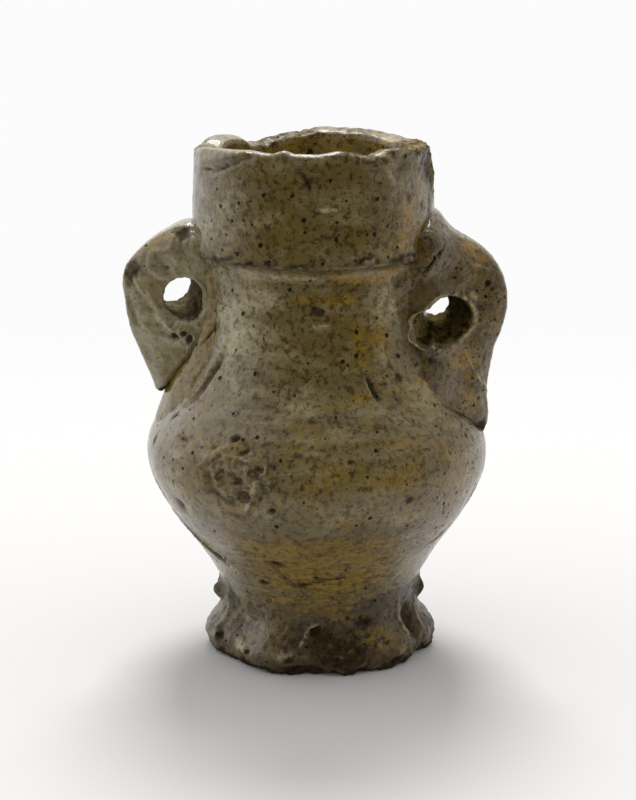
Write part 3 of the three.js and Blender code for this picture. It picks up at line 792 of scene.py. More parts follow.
@dataclass
class FootRing:
    """The foot: a coil of clay smeared up the wall and pinched out between the thumb's hollows."""

    section: Section
    steps: int = 420
    spacing: float = 0.42
    height: float = 17.0
    tuck_radius: float = 13.2
    coil: float = 5.6
    lobe_height: float = 3.4
    neck_height: float = 10.0
    neck_coil: float = 1.5
    seat: float = 1.2
    lobe_middle: float = 3.0
    lobe_spread: float = 2.6
    lobe_bulge: float = 0.55
    sole_lift: float = 1.3
    presses: Sequence[tuple[float, float, float]] = (
        (215, 20, 1.3), (268, 17, 1.6), (299, 14, 0.9), (332, 14, 1.3), (22, 15, 2.6), (70, 18, 3.0),
        (118, 17, 2.8), (160, 15, 2.6),
    )

    def thickness(self, height: float) -> float:
        """Give the coil's thickness over the wall at a height, before the thumb presses it."""
        if height <= self.lobe_height:
            return self.coil
        if height <= self.neck_height:
            share = (height - self.lobe_height) / (self.neck_height - self.lobe_height)
            eased = share * share * (3 - 2 * share)
            return self.coil + (self.neck_coil - self.coil) * eased
        share = (height - self.neck_height) / (self.height - self.neck_height)
        return self.neck_coil * (1 - share) ** 1.5 - 0.5 * share ** 3

    def form(self) -> bmesh.types.BMesh:
        """Draw the ring's section, sole, outside, feathered top edge and buried seat, and spin it."""
        wall = self.section.radius
        outside = [
            Vector((float(wall(0.0)) + self.coil - 0.8, 0, 0)),
            Vector((float(wall(0.8)) + self.coil, 0, 0.9)),
        ]
        for height in np.linspace(1.5, self.height, 28).tolist():
            outside.append(Vector((float(wall(height)) + self.thickness(height), 0, height)))
        seat = [
            Vector((float(wall(height)) - self.seat, 0, height))
            for height in (self.height - 0.6, self.neck_height, self.section.sizes.waist_height, 3.4)
        ]
        under = Vector((self.tuck_radius + 0.6, 0, self.section.sizes.base_height + 0.8))
        line = resampled([Vector((self.tuck_radius, 0, 0)), *outside], self.spacing)
        line += [*seat, under, Vector((self.tuck_radius, 0, 0.8))]
        return spun(drawn(line, closed=True), self.steps)

    def pinch(self, clay: Clay) -> None:
        """Press the thumb's hollows in and let the clay between them stand out as lobes."""
        radius = clay.radii
        height = clay.points[:, 2]
        base = self.section.sizes.base_radius
        outside = ease(base, base + 1.2, radius)
        levels = np.linspace(0, self.height, 40)
        pinched = np.interp(height, levels, [self.thickness(h) for h in levels]) / self.coil
        pinched = np.clip(pinched, 0, 1)
        depth = sum(deep * np.exp(-2 * (apart(clay.turns, turn) / width) ** 2)
                    for turn, width, deep in self.presses)
        ragged = 0.5 * clay.grain(2.6, 61.0, 3) + 0.35 * clay.grain((7, 7, 9), 64.0)
        lobe = np.exp(-((height - self.lobe_middle) / self.lobe_spread) ** 2)
        inward = (depth * pinched - ragged * (0.1 + pinched) - self.lobe_bulge * lobe) * outside
        clay.points[:, :2] *= ((radius - inward) / radius)[:, None]
        sole = ease(2.8, 0.0, height) * outside
        lift = np.clip(clay.grain((3.2, 3.2, 40), 71.0, 3) + 0.15, 0, 1)
        clay.points[:, 2] += self.sole_lift * sole * lift

    def marks(self) -> list[Stroke]:
        """List the finger marks and flaws on the foot."""
        bare, ochre, dark, pale = Tone.BARE, Tone.OCHRE, Tone.DARK, Tone.PALE
        return [
            Stroke(224, 8.9, 9.4, 10.0, 1.5, 8, 2.3, 0.35, 0.0, pale, 0.15),
            Stroke(222, 12.4, 6.0, 3.0, 0.4, 10, 2, 0.5, 0, dark, 0.3),
            Stroke(239.5, 8.6, 2.4, 10.0, -0.35, 14, 2, 0.5, 0, pale, 0.1),
            Stroke(203, 8.0, 1.4, 10.0, -0.8, -6, 2, 0.4, 0, pale, 0.3),
            Stroke(226, 4.2, 9.0, 2.0, -0.5, -6, 2, 0.6, 0, pale, 0.3),
            Stroke(252, 4.4, 9.0, 2.4, -0.4, 0, 2, 0.6, 0, pale, 0.28),
            Stroke(331, 7.6, 3.4, 5.4, 1.3, -8, 2.2, 0.35, 0.2, dark, 0.6),
            Stroke(322, 8.2, 1.1, 7.0, -0.45, 4, 2, 0.6, 0, pale, 0.4),
            Stroke(341, 8.0, 1.1, 7.5, -0.5, -12, 2, 0.6, 0, pale, 0.45),
            Stroke(265.6, 9.6, 2.8, 0.7, -0.8, 18, 2, 0.4, 0, pale, 0.6),
            Stroke(262.2, 7.8, 4.6, 0.7, -0.7, 62, 2, 0.5, 0, pale, 0.7),
            Stroke(268.0, 8.4, 2.0, 1.8, 0.9, 20, 2, 0.3, 0, dark, 1.2),
            Stroke(280, 4.6, 15.0, 8.0, 0.35, 0, 2.2, 1.5, 0, dark, 0.75),
            Stroke(273, 6.8, 7.0, 4.5, 0.3, 0, 2.2, 1.0, 0, dark, 0.7),
            Stroke(297, 9.9, 3.4, 1.6, 0.3, 0, 2, 1.0, 0, dark, 1.0),
            Stroke(301, 6.4, 12.0, 5.0, 0.0, 0, 2, 1.2, 0, ochre, 0.4),
            Stroke(287, 11.2, 14.0, 2.6, 0.0, 0, 2, 1.2, 0, ochre, 0.3),
            Stroke(247, 9.5, 5.0, 8.0, 0.0, 0, 2, 1.0, 0, ochre, 0.3),
            Stroke(231, 4.0, 1.2, 1.0, 0.5, 0, 2, 0.5, 0.2, dark, 1.3),
            Stroke(254, 3.6, 1.2, 1.0, 0.5, 0, 2, 0.5, 0.2, dark, 1.3),
            Stroke(206, 4.4, 1.4, 1.4, 0.5, 0, 2, 0.5, 0.2, dark, 1.2),
            Stroke(240.5, 14.0, 1.0, 1.0, 0.3, 0, 2, 0.5, 0.2, dark, 1.1),
            Stroke(286, 11.2, 1.0, 0.8, 0.4, 0, 2, 0.5, 0.2, dark, 1.2),
            Stroke(294, 10.9, 0.9, 0.8, 0.4, 0, 2, 0.5, 0.2, dark, 1.2),
            Stroke(262, 1.4, 9.0, 1.5, 0.4, -4, 2, 0.8, 0, dark, 1.2),
            Stroke(312, 1.6, 5.0, 1.6, 0.3, 8, 2, 0.8, 0, dark, 1.0),
            Stroke(318, 3.4, 4.0, 3.0, 0.2, 20, 2, 0.9, 0, pale, 0.4),
            Stroke(186, 11.6, 3.6, 3.4, -1.7, 0, 2.2, 0.4, 0, bare, 0.4),
            Stroke(352, 12.4, 3.2, 4.0, -1.5, 0, 2.2, 0.4, 0, dark, 0.6),
        ]

    def spot(self, turn: float, height: float) -> tuple[Vector, Vector, Vector]:
        """Find a place on the foot, as Section.spot does on the wall."""
        place, level, normal = self.section.spot(turn, height)
        out = level.cross(Vector((0, 0, 1)))
        return place + out * max(self.thickness(height) - 1.0, 0), level, (normal + out).normalized()

    def build(self, material: bpy.types.Material) -> bpy.types.Object:
        """Model and dress the foot.

        Args:
            material: Its finish.

        Returns:
            The foot's object.
        """
        clay = Clay("thumbed_foot", self.form())
        self.pinch(clay)
        clay.press(self.marks(), self.spot, reach=4.0)
        height = clay.points[:, 2]
        edge = ease(2.2, 0.7, height - 1.1 * clay.grain(2.0, 81.0, 3))
        clay.tint(Tone.DARK, edge)
        clay.tint(Tone.BARE, 0.35 * edge)
        ash = ease(9.5, 14, height) * np.exp(-((apart(clay.turns, 262) / 36) ** 4))
        clay.tint(Tone.OCHRE, ash * (0.7 + 0.5 * clay.grain((6, 6, 2.0), 27.0, 3)))
        clay.push(0.16 * clay.grain(1.2, 83.0, 3) * ease(16.5, 10.0, height))
        clay.points[:, 2] = np.maximum(clay.points[:, 2], 0.0)
        return clay.finish(self.section, material, "foot_ring", "foot_clay")


@dataclass(frozen=True)
class HoleEnd:
    """One end of a lug's hole: its middle, out from the jar's axis and up, and its size.

    A dent is an angle in degrees, from outwards through up, how far the rim bulges out there (or is
    pinched in, below 0), and how many degrees wide that is.
    """

    out: float
    up: float
    width: float
    height: float
    dents: Sequence[tuple[float, float, float]] = ()

    def rim(self, around: np.ndarray) -> np.ndarray:
        """Give the rim's places at angles in radians round its middle."""
        reach = 1 / np.hypot(2 * np.cos(around) / self.width, 2 * np.sin(around) / self.height)
        for angle, bulge, wide in self.dents:
            reach = reach + bulge * np.exp(-((apart(np.degrees(around), angle) / wide) ** 2))
        return np.stack([self.out + reach * np.cos(around), self.up + reach * np.sin(around)], 1)


@dataclass(frozen=True)
class Smear:
    """How the luting lies at one angle round a lug's root, from the mouth's side through the top."""

    angle: float
    width: float
    thickness: float
    # crack: how deep the groove between luting and wall is pressed, and how strongly it is darkened with
    # painted shade.
    crack: float = 0.0


@dataclass(frozen=True)
class LugShape:
    """A lug in its own plane: x out from the jar's axis, z up, +y across it.

    Front is the side, in that plane, that the stick went in at and that faces the camera.
    """

    name: str
    turn: float
    front: int
    outline: Sequence[tuple[float, float]]
    root_half: float
    edge_half: float
    flare: float
    flare_behind: float
    flare_reach: float
    exit: HoleEnd
    mouth: HoleEnd
    collar: float
    collar_width: float
    luting_span: tuple[float, float]
    luting_front: float
    luting_back: float
    luting_slump: float
    smears: Sequence[Smear]
    marks: Sequence[Stroke]
    cracks_and_shade_lines: Sequence[Stroke]


class Lug:
    """A pressed and pierced lump of clay."""

    STEPS_ROUND = 420
    STEPS_ACROSS = 116
    BURIED = 1.4
    # Up to these shares of the half-thickness, the hole's edge stays crisp and its wall straight.
    CRISP_FROM = 0.56
    STRAIGHT_TO = 0.62
    # How much thinner the lug gets by its rim, and how far in that reaches, in millimetres.
    THINNING = 0.25
    THINNING_REACH = 2.4

    def __init__(self, section: Section, shape: LugShape) -> None:
        """Prepare a lug.

        Args:
            section: The wall it sits on.
            shape: Its own sizes.
        """
        self.section = section
        self.shape = shape
        self.edge = max(x for x, _ in shape.outline)

    def half(self, out: np.ndarray, facing: np.ndarray) -> np.ndarray:
        """Give half the lug's thickness.

        Args:
            out: Distances out from the jar's axis.
            facing: Above 0 on the mouth's side of the lug.

        Returns:
            The half-thickness at each place.
        """
        shape, sizes = self.shape, self.section.sizes
        taper = ease(sizes.ledge_radius, self.edge, out)
        plain = shape.root_half + (shape.edge_half - shape.root_half) * taper
        flare = np.where(facing > 0, shape.flare, shape.flare_behind)
        from_throat = np.maximum(out - sizes.throat_radius, 0) / shape.flare_reach
        return plain + flare * np.exp(-(from_throat ** 2))

    def reach(self, centre: np.ndarray, angles: np.ndarray) -> np.ndarray:
        """Give how far the outline lies from a centre in each direction.

        Args:
            centre: A place inside the outline.
            angles: Directions in radians.

        Returns:
            The distance in each direction.
        """
        corners = [Vector((x, 0, z)) for x, z in self.shape.outline]
        count = len(corners)
        smooth: list[Vector] = []
        for i, here in enumerate(corners):
            before, after, later = corners[i - 1], corners[(i + 1) % count], corners[(i + 2) % count]
            pull = (after - here).length / 3
            leave = (after - before).normalized() * pull
            arrive = (later - here).normalized() * pull
            smooth += interpolate_bezier(here, here + leave, after - arrive, after, 24)[:-1]
        line = np.array([(p.x, p.z) for p in smooth]) - centre
        directions = np.arctan2(line[:, 1], line[:, 0])
        order = np.argsort(directions)
        return np.interp(angles, directions[order], np.hypot(*line[order].T), period=2 * math.pi)

    def clay(self) -> Clay:
        """Shape the lug as a ring of clay round its hole.

        Each point of the ring is laid between the hole's wall and the lug's outline, flat across the
        faces and rounded at the edge.

        Returns:
            The lug in its own plane.
        """
        shape = self.shape
        clay, around, out, up = ring_of_clay(f"{shape.name}_lump", self.STEPS_ROUND, self.STEPS_ACROSS)
        rise = np.abs(up)
        crisp = 0.5 * (np.maximum(rise - self.CRISP_FROM, 0) / (1 - self.CRISP_FROM)) ** 1.3
        spread = np.where(out < 0, crisp, 0.5 + 0.5 * powered(out, 0.75))[:, None]
        level = np.where(out < 0, np.minimum(rise / self.STRAIGHT_TO, 1), np.sqrt(rise))
        facing = -shape.front * np.sign(up) * level
        share = (0.5 + 0.5 * facing)[:, None]
        rim = shape.exit.rim(around) * (1 - share) + shape.mouth.rim(around) * share
        middle = np.array([shape.exit.out + shape.mouth.out, shape.exit.up + shape.mouth.up]) / 2
        ray = np.stack([np.cos(around), np.sin(around)], 1)
        border = middle + ray * self.reach(middle, around)[:, None]
        flat = rim + (border - rim) * spread
        from_rim = np.linalg.norm(flat - rim, axis=1)
        from_border = np.linalg.norm(border - flat, axis=1)
        thin = 1 - self.THINNING * np.exp(-((from_border / self.THINNING_REACH) ** 2))
        across = facing * self.half(flat[:, 0], facing) * thin * shape.front
        clay.points = np.stack([flat[:, 0], across, flat[:, 1]], 1)
        self.raise_collar(clay, facing, from_rim, around)
        return clay

    def raise_collar(
        self, clay: Clay, facing: np.ndarray, from_rim: np.ndarray, around: np.ndarray,
    ) -> None:
        """Push up the frayed collar that the stick raised round the hole's mouth, and leave the hole's wall
        bare, darkened with painted shade that is deepest towards the mouth.

        Args:
            clay: The lug in its own plane.
            facing: 1 on the side of the mouth, -1 on the far side.
            from_rim: Distance from the hole's edge.
            around: Angle round the hole, in radians.
        """
        shape = self.shape
        torn = 1 + 0.7 * clay.grain(1.1, 91.0, 3)
        uneven = 0.7 + 0.3 * np.cos(around - math.radians(225))
        uneven += 0.3 * np.cos(around - math.radians(40)) ** 8
        ridge = np.exp(-(((from_rim - 0.35) / shape.collar_width) ** 2)) * ease(0.9, 0.99, facing)
        clay.points[:, 1] += shape.front * shape.collar * ridge * torn * uneven
        clay.tint(Tone.PALE, 0.75 * ridge * torn * min(shape.collar, 1))
        # Inside the hole: bare unglazed clay, darkened with painted shade that is deepest towards the
        # mouth.
        inside = ease(0.97, 0.85, facing) * ease(0.4, 0.0, from_rim)
        patchy = clay.grain((1.6, 3.2, 1.6), 95.0, 3)
        near_mouth = ease(-0.45, 0.7, facing) * (1 - 0.5 * np.cos(around - math.radians(110)) ** 2)
        clay.tint(Tone.DARK, inside * (0.12 + 0.35 * patchy + 0.62 * near_mouth))
        clay.tint(Tone.BARE, inside)
        clay.push(0.2 * inside * clay.grain(0.9, 97.0, 3))

    def face(self, out: float, height: float) -> tuple[Vector, Vector, Vector]:
        """Find a place on the face towards the camera, with its direction to the photograph's right."""
        front = self.shape.front
        half = float(self.half(np.array([out]), np.array([1.0]))[0])
        return Vector((out, front * half, height)), Vector((-front, 0, 0)), Vector((0, front, 0))

    def seat(self, clay: Clay) -> None:
        """Turn the lug to its place and bury its root just under the skin of the wall."""
        turn = math.radians(self.shape.turn)
        x, y = clay.points[:, 0].copy(), clay.points[:, 1].copy()
        clay.points[:, 0] = x * math.cos(turn) - y * math.sin(turn)
        clay.points[:, 1] = x * math.sin(turn) + y * math.cos(turn)
        least = self.section.radius(clay.points[:, 2]) - self.BURIED
        clay.points[:, :2] *= np.maximum(least / np.maximum(clay.radii, 0.1), 1)[:, None]

    def build(self, material: bpy.types.Material) -> bpy.types.Object:
        """Model and dress the lug.

        Args:
            material: Its finish.

        Returns:
            The lug's object.
        """
        clay = self.clay()
        clay.press(self.shape.marks, self.face, reach=2.5)
        clay.push(0.25 * clay.grain(6.5, 101.0, 2) + 0.07 * clay.grain(1.1, 103.0, 2))
        self.seat(clay)
        return clay.finish(self.section, material, self.shape.name, "lug_clay")


@dataclass
class Luting:
    """The wet clay smeared round a lug's root: a fillet that fades out over the wall."""

    lug: Lug
    steps: int = 420
    steps_across: int = 84
    tucked: float = 1.2
    buried: float = 0.8
    edge: float = 0.22
    fray: float = 0.35
    crack_width: float = 0.34
    crack_depth: float = 1.1

    def build(self, material: bpy.types.Material) -> bpy.types.Object:
        """Model and dress the luting.

        Args:
            material: Its finish.

        Returns:
            The luting's object.
        """
        shape, section = self.lug.shape, self.lug.section
        clay, around, out, up = ring_of_clay(f"{shape.name}_smear", self.steps, self.steps_across)
        degrees = np.degrees(np.arctan2(np.sin(around), shape.front * np.cos(around))) % 360
        stops = [smear.angle for smear in shape.smears]
        width, thickness, crack = (
            np.interp(degrees, stops, [getattr(smear, size) for smear in shape.smears], period=360)
            for size in ("width", "thickness", "crack")
        )
        loop = [(3 * math.cos(a), 3 * math.sin(a), 7.0) for a in around]
        frayed = np.array([noise.fractal(place, 1.0, 2.0, 4) for place in loop])
        width = width * (1 + self.fray * frayed * ease(9.0, 4.0, width))
        offset = -self.tucked + (width + self.tucked) * (0.5 + 0.5 * out)
        low, high = shape.luting_span
        side, rise = powered(np.cos(around), 0.8), powered(np.sin(around), 0.8)
        half = np.where(side * shape.front > 0, shape.luting_front, shape.luting_back)
        across = side * (half + offset)
        height = (low + high) / 2 + rise * ((high - low) / 2 + offset)
        fall = np.clip(1 - np.maximum(offset, 0) / width, 0, 1)
        skin = thickness * fall ** shape.luting_slump + self.edge * fall ** 0.3 - 0.15
        shaded_groove = crack * np.exp(-((offset - 0.05) / self.crack_width) ** 2)
        skin = skin - self.crack_depth * shaded_groove
        lift = np.where(up > 0, skin * np.abs(up) ** 0.4, -self.buried * np.abs(up))
        sizes = section.sizes
        filled = sizes.throat_radius + (sizes.ledge_radius - sizes.throat_radius) * ease(
            sizes.throat_height - 3, sizes.ledge_height + 0.3, height)
        wall = section.radius(height)
        wall = wall + np.where(height > 60, np.maximum(filled - wall, 0), 0) * ease(0.0, 0.75, fall)
        angle = np.arcsin(np.clip(across / wall, -0.95, 0.95)) + math.radians(shape.turn)
        radius = wall + lift
        clay.points = np.stack([radius * np.cos(angle), radius * np.sin(angle), height], 1)
        clay.push(0.15 * clay.grain(3.2, 111.0, 2) + 0.07 * clay.grain((1.2, 1.2, 4.0), 113.0, 2))
        # Painted shade: the groove between the luting and the wall is darkened as a shadow line.
        clay.tint(Tone.DARK, shaded_groove * 1.3)
        clay.tint(Tone.PALE, 0.22 * ease(0.55, 0.95, 1 - fall) * (1 + frayed))
        clay.press(shape.cracks_and_shade_lines, section.spot, reach=5.0)
        return clay.finish(section, material, f"{shape.name}_luting", "luting_clay")


def add_node(
    tree: bpy.types.NodeTree, kind: str, *sources: object, out: int | str = 0, **settings: object,
) -> bpy.types.NodeSocket | None:
    """Add a node with its settings and links.

    Args:
        tree: The tree that it joins.
        kind: The node's type, without the word ShaderNode.
        sources: A value or another node's output for each of its inputs in order, or else one dict of
            them by input number or name.
        out: Which of its outputs is wanted.
        settings: Its properties.

    Returns:
        The output, from which the node can be reached, or None for a node without one.
    """
    node = tree.nodes.new(f"ShaderNode{kind}")
    for name, value in settings.items():
        setattr(node, name, value)
    inputs = sources[0] if sources and isinstance(sources[0], dict) else dict(enumerate(sources))
    for key, value in inputs.items():
        if isinstance(value, bpy.types.NodeSocket):
            tree.links.new(value, node.inputs[key])
        else:
            node.inputs[key].default_value = value
    return node.outputs[out] if node.outputs else None


@dataclass(frozen=True)
class Pattern:
    """Noise over the clay: the size of its lumps in millimetres, its detail, roughness and stretch."""

    size: float
    detail: float = 2.0
    rough: float = 0.5
    stretch: tuple[float, float, float] | None = None


class Grain(Enum):
    """The noises that every glaze is mixed from, as large as they are on the jar.

    FINE alone is coarser than the real frosting, whose grains of under 0.2 mm no picture would hold.
    """

    CLOUD = Pattern(15, 3)
    STREAK = Pattern(5, 5, 0.6, (0.55, 0.55, 1.4))
    GLOSS = Pattern(4, 5, 0.65)
    MOTTLE = Pattern(2.8, 7, 0.7)
    PEEL = Pattern(1.5, 2, 0.5)
    BLEED = Pattern(1.3, 4, 0.65)
    GRIT = Pattern(0.8, 5, 0.72)
    CRUMB = Pattern(0.5, 6, 0.75)
    FINE = Pattern(0.38, 3, 0.6)


@dataclass(frozen=True)
class GlazeFinish:
    """A salt-glazed finish: its colours, its gloss, its orange peel's height in mm, and its marks."""

    name: str
    olive: str
    brown: str
    grey: str
    blotch: str
    roughness: float
    peel: float
    specks: float
    mottled: float = 1.0
    scraped: float = 0.0


class SaltGlaze:
    """Salt-glazed stoneware, fired grey-olive.

    Salt vapour leaves a thin hard glass on the clay: glossy, finely pitted like orange peel, brown where
    iron has bled through it, ochre where it pooled, and missing where the clay was chipped or stood.
    """

    GLASS_IOR = 1.52
    # Where along X, in millimetres, the clay turns towards the fire, and the heights between which the
    # scraped lines come in and go out.
    FIRE_SIDE = (2, 27)
    SCRAPED_FROM = (8, 15)
    SCRAPED_TO = (35, 27)
    SCRAPE = Pattern(1, 4, 0.7, (0.2, 0.2, 2.0))
    SCRAPE_WANDER = 6
    # Spacing and largest radius in millimetres, and the share of the places that hold one.
    SMALL_SPOTS = (1.9, 0.4, 0.5)
    TINY_SPOTS = (0.95, 0.22, 0.6)
    PITS = (1.2, 0.46, 0.9)

    TOASTED = "#fff6c8"
    OCHRE = "#8e7013"
    DARK = "#2b1f0c"
    PALE = "#a89f7c"
    BARE = "#7c7058"
    SPECK = "#110b06"
    GRIT = "#2a1f09"
    FROST = "#a39b78"
    BLEED = "#a3955c"
    SCRAPED = "#9c8850"

    def __init__(self, finish: GlazeFinish) -> None:
        """Start a material with its noises, its paint and the side that faced the fire.

        Args:
            finish: The colours and gloss to use.
        """
        self.finish = finish
        self.material = bpy.data.materials.new(finish.name)
        self.material.use_nodes = True
        self.tree = self.material.node_tree
        self.tree.nodes.clear()
        coordinates = self.add("TexCoord", out="Object")
        self.place = self.add("VectorMath", {0: coordinates, "Scale": 1 / MM}, operation="SCALE")
        self.grain = {grain: self.lumps(grain.value, self.place) for grain in Grain}
        paint = self.add("Attribute", out="Color", attribute_name=PAINT, attribute_type="GEOMETRY")
        channels = [*self.add("SeparateColor", paint).node.outputs, paint.node.outputs["Alpha"]]
        self.paint = {tone: channels[tone.value] for tone in Tone}
        across = self.add("SeparateXYZ", self.place, out="X")
        self.fire_side = self.add("MapRange", across, *self.FIRE_SIDE, 0, 1, **SMOOTH)

    def add(self, kind: str, *sources: object, **settings: object) -> bpy.types.NodeSocket | None:
        """Add a node to the material, as add_node does."""
        return add_node(self.tree, kind, *sources, **settings)

    def lumps(self, pattern: Pattern, place: bpy.types.NodeSocket) -> bpy.types.NodeSocket:
        """Lay a noise, centred on 0.5, over the clay.

        Args:
            pattern: The size and sort of its lumps.
            place: Where the surface is, in millimetres.

        Returns:
            The noise.
        """
        if pattern.stretch:
            place = self.add("Mapping", {"Vector": place, "Scale": pattern.stretch})
        return self.add("TexNoise", {
            "Vector": place,
            "Scale": 1 / pattern.size,
            "Detail": pattern.detail,
            "Roughness": pattern.rough,
        })

    def spots(self, spacing: float, size: float, share: float) -> bpy.types.NodeSocket:
        """Scatter round iron spots.

        Args:
            spacing: Distance between places where a spot may be, in millimetres.
            size: Largest radius.
            share: Share of those places that hold one.

        Returns:
            1 in a spot and 0 outside.
        """
        size = size / spacing
        distance = self.add(
            "TexVoronoi", {"Vector": self.place, "Scale": 1 / spacing, "Randomness": 1.0}, out="Distance",
            feature="F1",
        )
        pick = self.add("SeparateColor", distance.node.outputs["Color"])
        radius = self.add("MapRange", pick, 1 - share, 1.0, 0.0, size)
        inside = self.add("Math", radius, distance, **MINUS)
        return self.add("MapRange", inside, -0.1 * size, 0.25 * size, 0, 1, **SMOOTH)

    def worn(self, tone: Tone, breakup: Grain, top: float = 0.9) -> bpy.types.NodeSocket:
        """Break up the edge of a painted tone with noise.

        Args:
            tone: What is painted.
            breakup: The noise.
            top: The most that the tone may cover.

        Returns:
            The share of the tone to mix in.
        """
        amount = self.paint[tone]
        shift = self.add("Math", self.add("Math", self.grain[breakup], 0.5, **MINUS), 1.1, **TIMES)
        shifted = self.add("Math", amount, shift, **PLUS)
        kept = self.add("MapRange", shifted, 0.08, 0.85, 0, top, **SMOOTH)
        return self.add("Math", kept, self.add("MapRange", amount, 0, 0.15, 0, 1, **SMOOTH), **TIMES)

    def specks(self) -> bpy.types.NodeSocket:
        """Gather the iron: the large spots of the body, small and tiny ones, and pits on the fire side.

        Returns:
            1 in a spot, less in a tiny one or a pit, and 0 outside.
        """
        iron = self.add("Attribute", out="Fac", attribute_name=IRON, attribute_type="GEOMETRY")
        ragged = self.add("Math", self.add("Math", self.grain[Grain.GRIT], 0.5, **MINUS), 0.9, **TIMES)
        iron = self.add("MapRange", self.add("Math", iron, ragged, **PLUS), 0.44, 0.56, 0, 1, **SMOOTH)
        small, tiny = (
            self.spots(spacing, size, share * self.finish.specks)
            for spacing, size, share in (self.SMALL_SPOTS, self.TINY_SPOTS)
        )
        pits = self.add("Math", self.spots(*self.PITS), self.fire_side, **TIMES)
        for spots, strength in ((small, 1.0), (tiny, 0.75), (pits, 0.6)):
            iron = self.add("Math", iron, self.add("Math", spots, strength, **TIMES), **LARGER)
        return iron

    def scrapes(self) -> tuple[bpy.types.NodeSocket, bpy.types.NodeSocket]:
        """Draw the wandering level lines that the potter's rib scraped low on the body.

        Returns:
            The lines, and the band that they lie in.
        """
        wander = self.add(
            "TexNoise", {"Vector": self.place, "Scale": 1 / self.SCRAPE_WANDER, "Detail": 2.0}, out="Color",
        )
        lines = self.lumps(self.SCRAPE, self.add("VectorMath", self.place, wander, **PLUS))
        height = self.add("SeparateXYZ", self.place, out="Z")
        above = self.add("MapRange", height, *self.SCRAPED_FROM, 0, 1, **SMOOTH)
        below = self.add("MapRange", height, *self.SCRAPED_TO, 0, 1, **SMOOTH)
        band = self.add("Math", below, above, **TIMES)
        return self.add("Math", lines, band, **TIMES), band

    def frost(self) -> bpy.types.NodeSocket:
        """Give the share of pale frosting: in the streaks alone, and not where the clay is stained."""
        frost = self.add("MapRange", self.grain[Grain.FINE], 0.55, 0.7, 0, 0.3, **SMOOTH)
        streaks = self.add("MapRange", self.grain[Grain.STREAK], 0.4, 0.6, 0, 1, **SMOOTH)
        clean = self.add("Math", 1.0, self.paint[Tone.DARK], **MINUS)
        return self.add("Math", self.add("Math", frost, streaks, **TIMES), clean, **TIMES)

    def layers(self, speck: bpy.types.NodeSocket) -> list[tuple[bpy.types.NodeSocket, str, str]]:
        """List the colours that lie over the olive ground, from the lowest up.

        Args:
            speck: 1 in an iron spot and 0 outside.

        Returns:
            The share, colour and blend of each.
        """
        finish = self.finish
        drift, streaked, blotched, bled, gritty = (
            self.add("MapRange", self.grain[name], low, high, 0, top, **SMOOTH)
            for name, low, high, top in (
                (Grain.CLOUD, 0.4, 0.6, 1.0),
                (Grain.STREAK, 0.45, 0.66, 0.65),
                (Grain.MOTTLE, 0.51, 0.66, 0.7 * finish.mottled),
                (Grain.BLEED, 0.49, 0.63, 0.9 * finish.mottled),
                (Grain.GRIT, 0.52, 0.68, 0.65 * finish.mottled),
            )
        )
        layers = [
            (drift, finish.brown, "MIX"),
            (streaked, finish.grey, "MIX"),
            (blotched, finish.blotch, "MIX"),
            (self.worn(Tone.OCHRE, Grain.MOTTLE), self.OCHRE, "MIX"),
            (self.worn(Tone.PALE, Grain.STREAK), self.PALE, "MIX"),
            (self.worn(Tone.BARE, Grain.GRIT), self.BARE, "MIX"),
            (self.worn(Tone.DARK, Grain.BLEED, 0.85), self.DARK, "MIX"),
            (bled, self.BLEED, "MULTIPLY"),
            (gritty, self.GRIT, "MIX"),
            (self.frost(), self.FROST, "MIX"),
            (self.fire_side, self.TOASTED, "MULTIPLY"),
            (self.add("Math", speck, 0.9, **TIMES), self.SPECK, "MIX"),
        ]
        if finish.scraped:
            lines, band = self.scrapes()
            between = self.add("MapRange", lines, 0.48, 0.36, 0, 0.6, **SMOOTH)
            layers += [
                (self.add("MapRange", lines, 0.54, 0.7, 0, 0.5, **SMOOTH), self.SCRAPED, "MIX"),
                (self.add("Math", between, band, **TIMES), self.BLEED, "MULTIPLY"),
            ]
        return layers

    def colour(self, speck: bpy.types.NodeSocket) -> bpy.types.NodeSocket:
        """Lay the glaze's colours over each other, from its olive ground to the scraped lines.

        Args:
            speck: 1 in an iron spot and 0 outside.

        Returns:
            The colour.
        """
        colour = linear(self.finish.olive)
        for share, tint, blend in self.layers(speck):
            stack = {0: share, 6: colour, 7: linear(tint)}
            colour = self.add("Mix", stack, out=2, data_type="RGBA", blend_type=blend)
        return colour

    def relief(self, speck: bpy.types.NodeSocket) -> bpy.types.NodeSocket:
        """Raise the orange peel, deepest on the fire side, sink the iron spots and roughen bare clay.

        Args:
            speck: 1 in an iron spot and 0 outside.

        Returns:
            The height, where 1 is as high as the finish's peel.
        """
        fine = self.add("Math", self.grain[Grain.FINE], 0.45, **TIMES)
        relief = self.add("Math", self.grain[Grain.PEEL], fine, **PLUS)
        relief = self.add("Math", relief, self.add("Math", self.fire_side, 1.0, **PLUS), **TIMES)
        relief = self.add("Math", relief, self.add("Math", speck, 0.5, **TIMES), **MINUS)
        crumbs = self.add("Math", self.grain[Grain.CRUMB], self.paint[Tone.BARE], **TIMES)
        relief = self.add("Math", relief, self.add("Math", crumbs, 2.5, **TIMES), **PLUS)
        if self.finish.scraped:
            lines, _ = self.scrapes()
            cut = self.add("Math", lines, self.finish.scraped, **TIMES)
            relief = self.add("Math", relief, cut, **PLUS)
        return relief

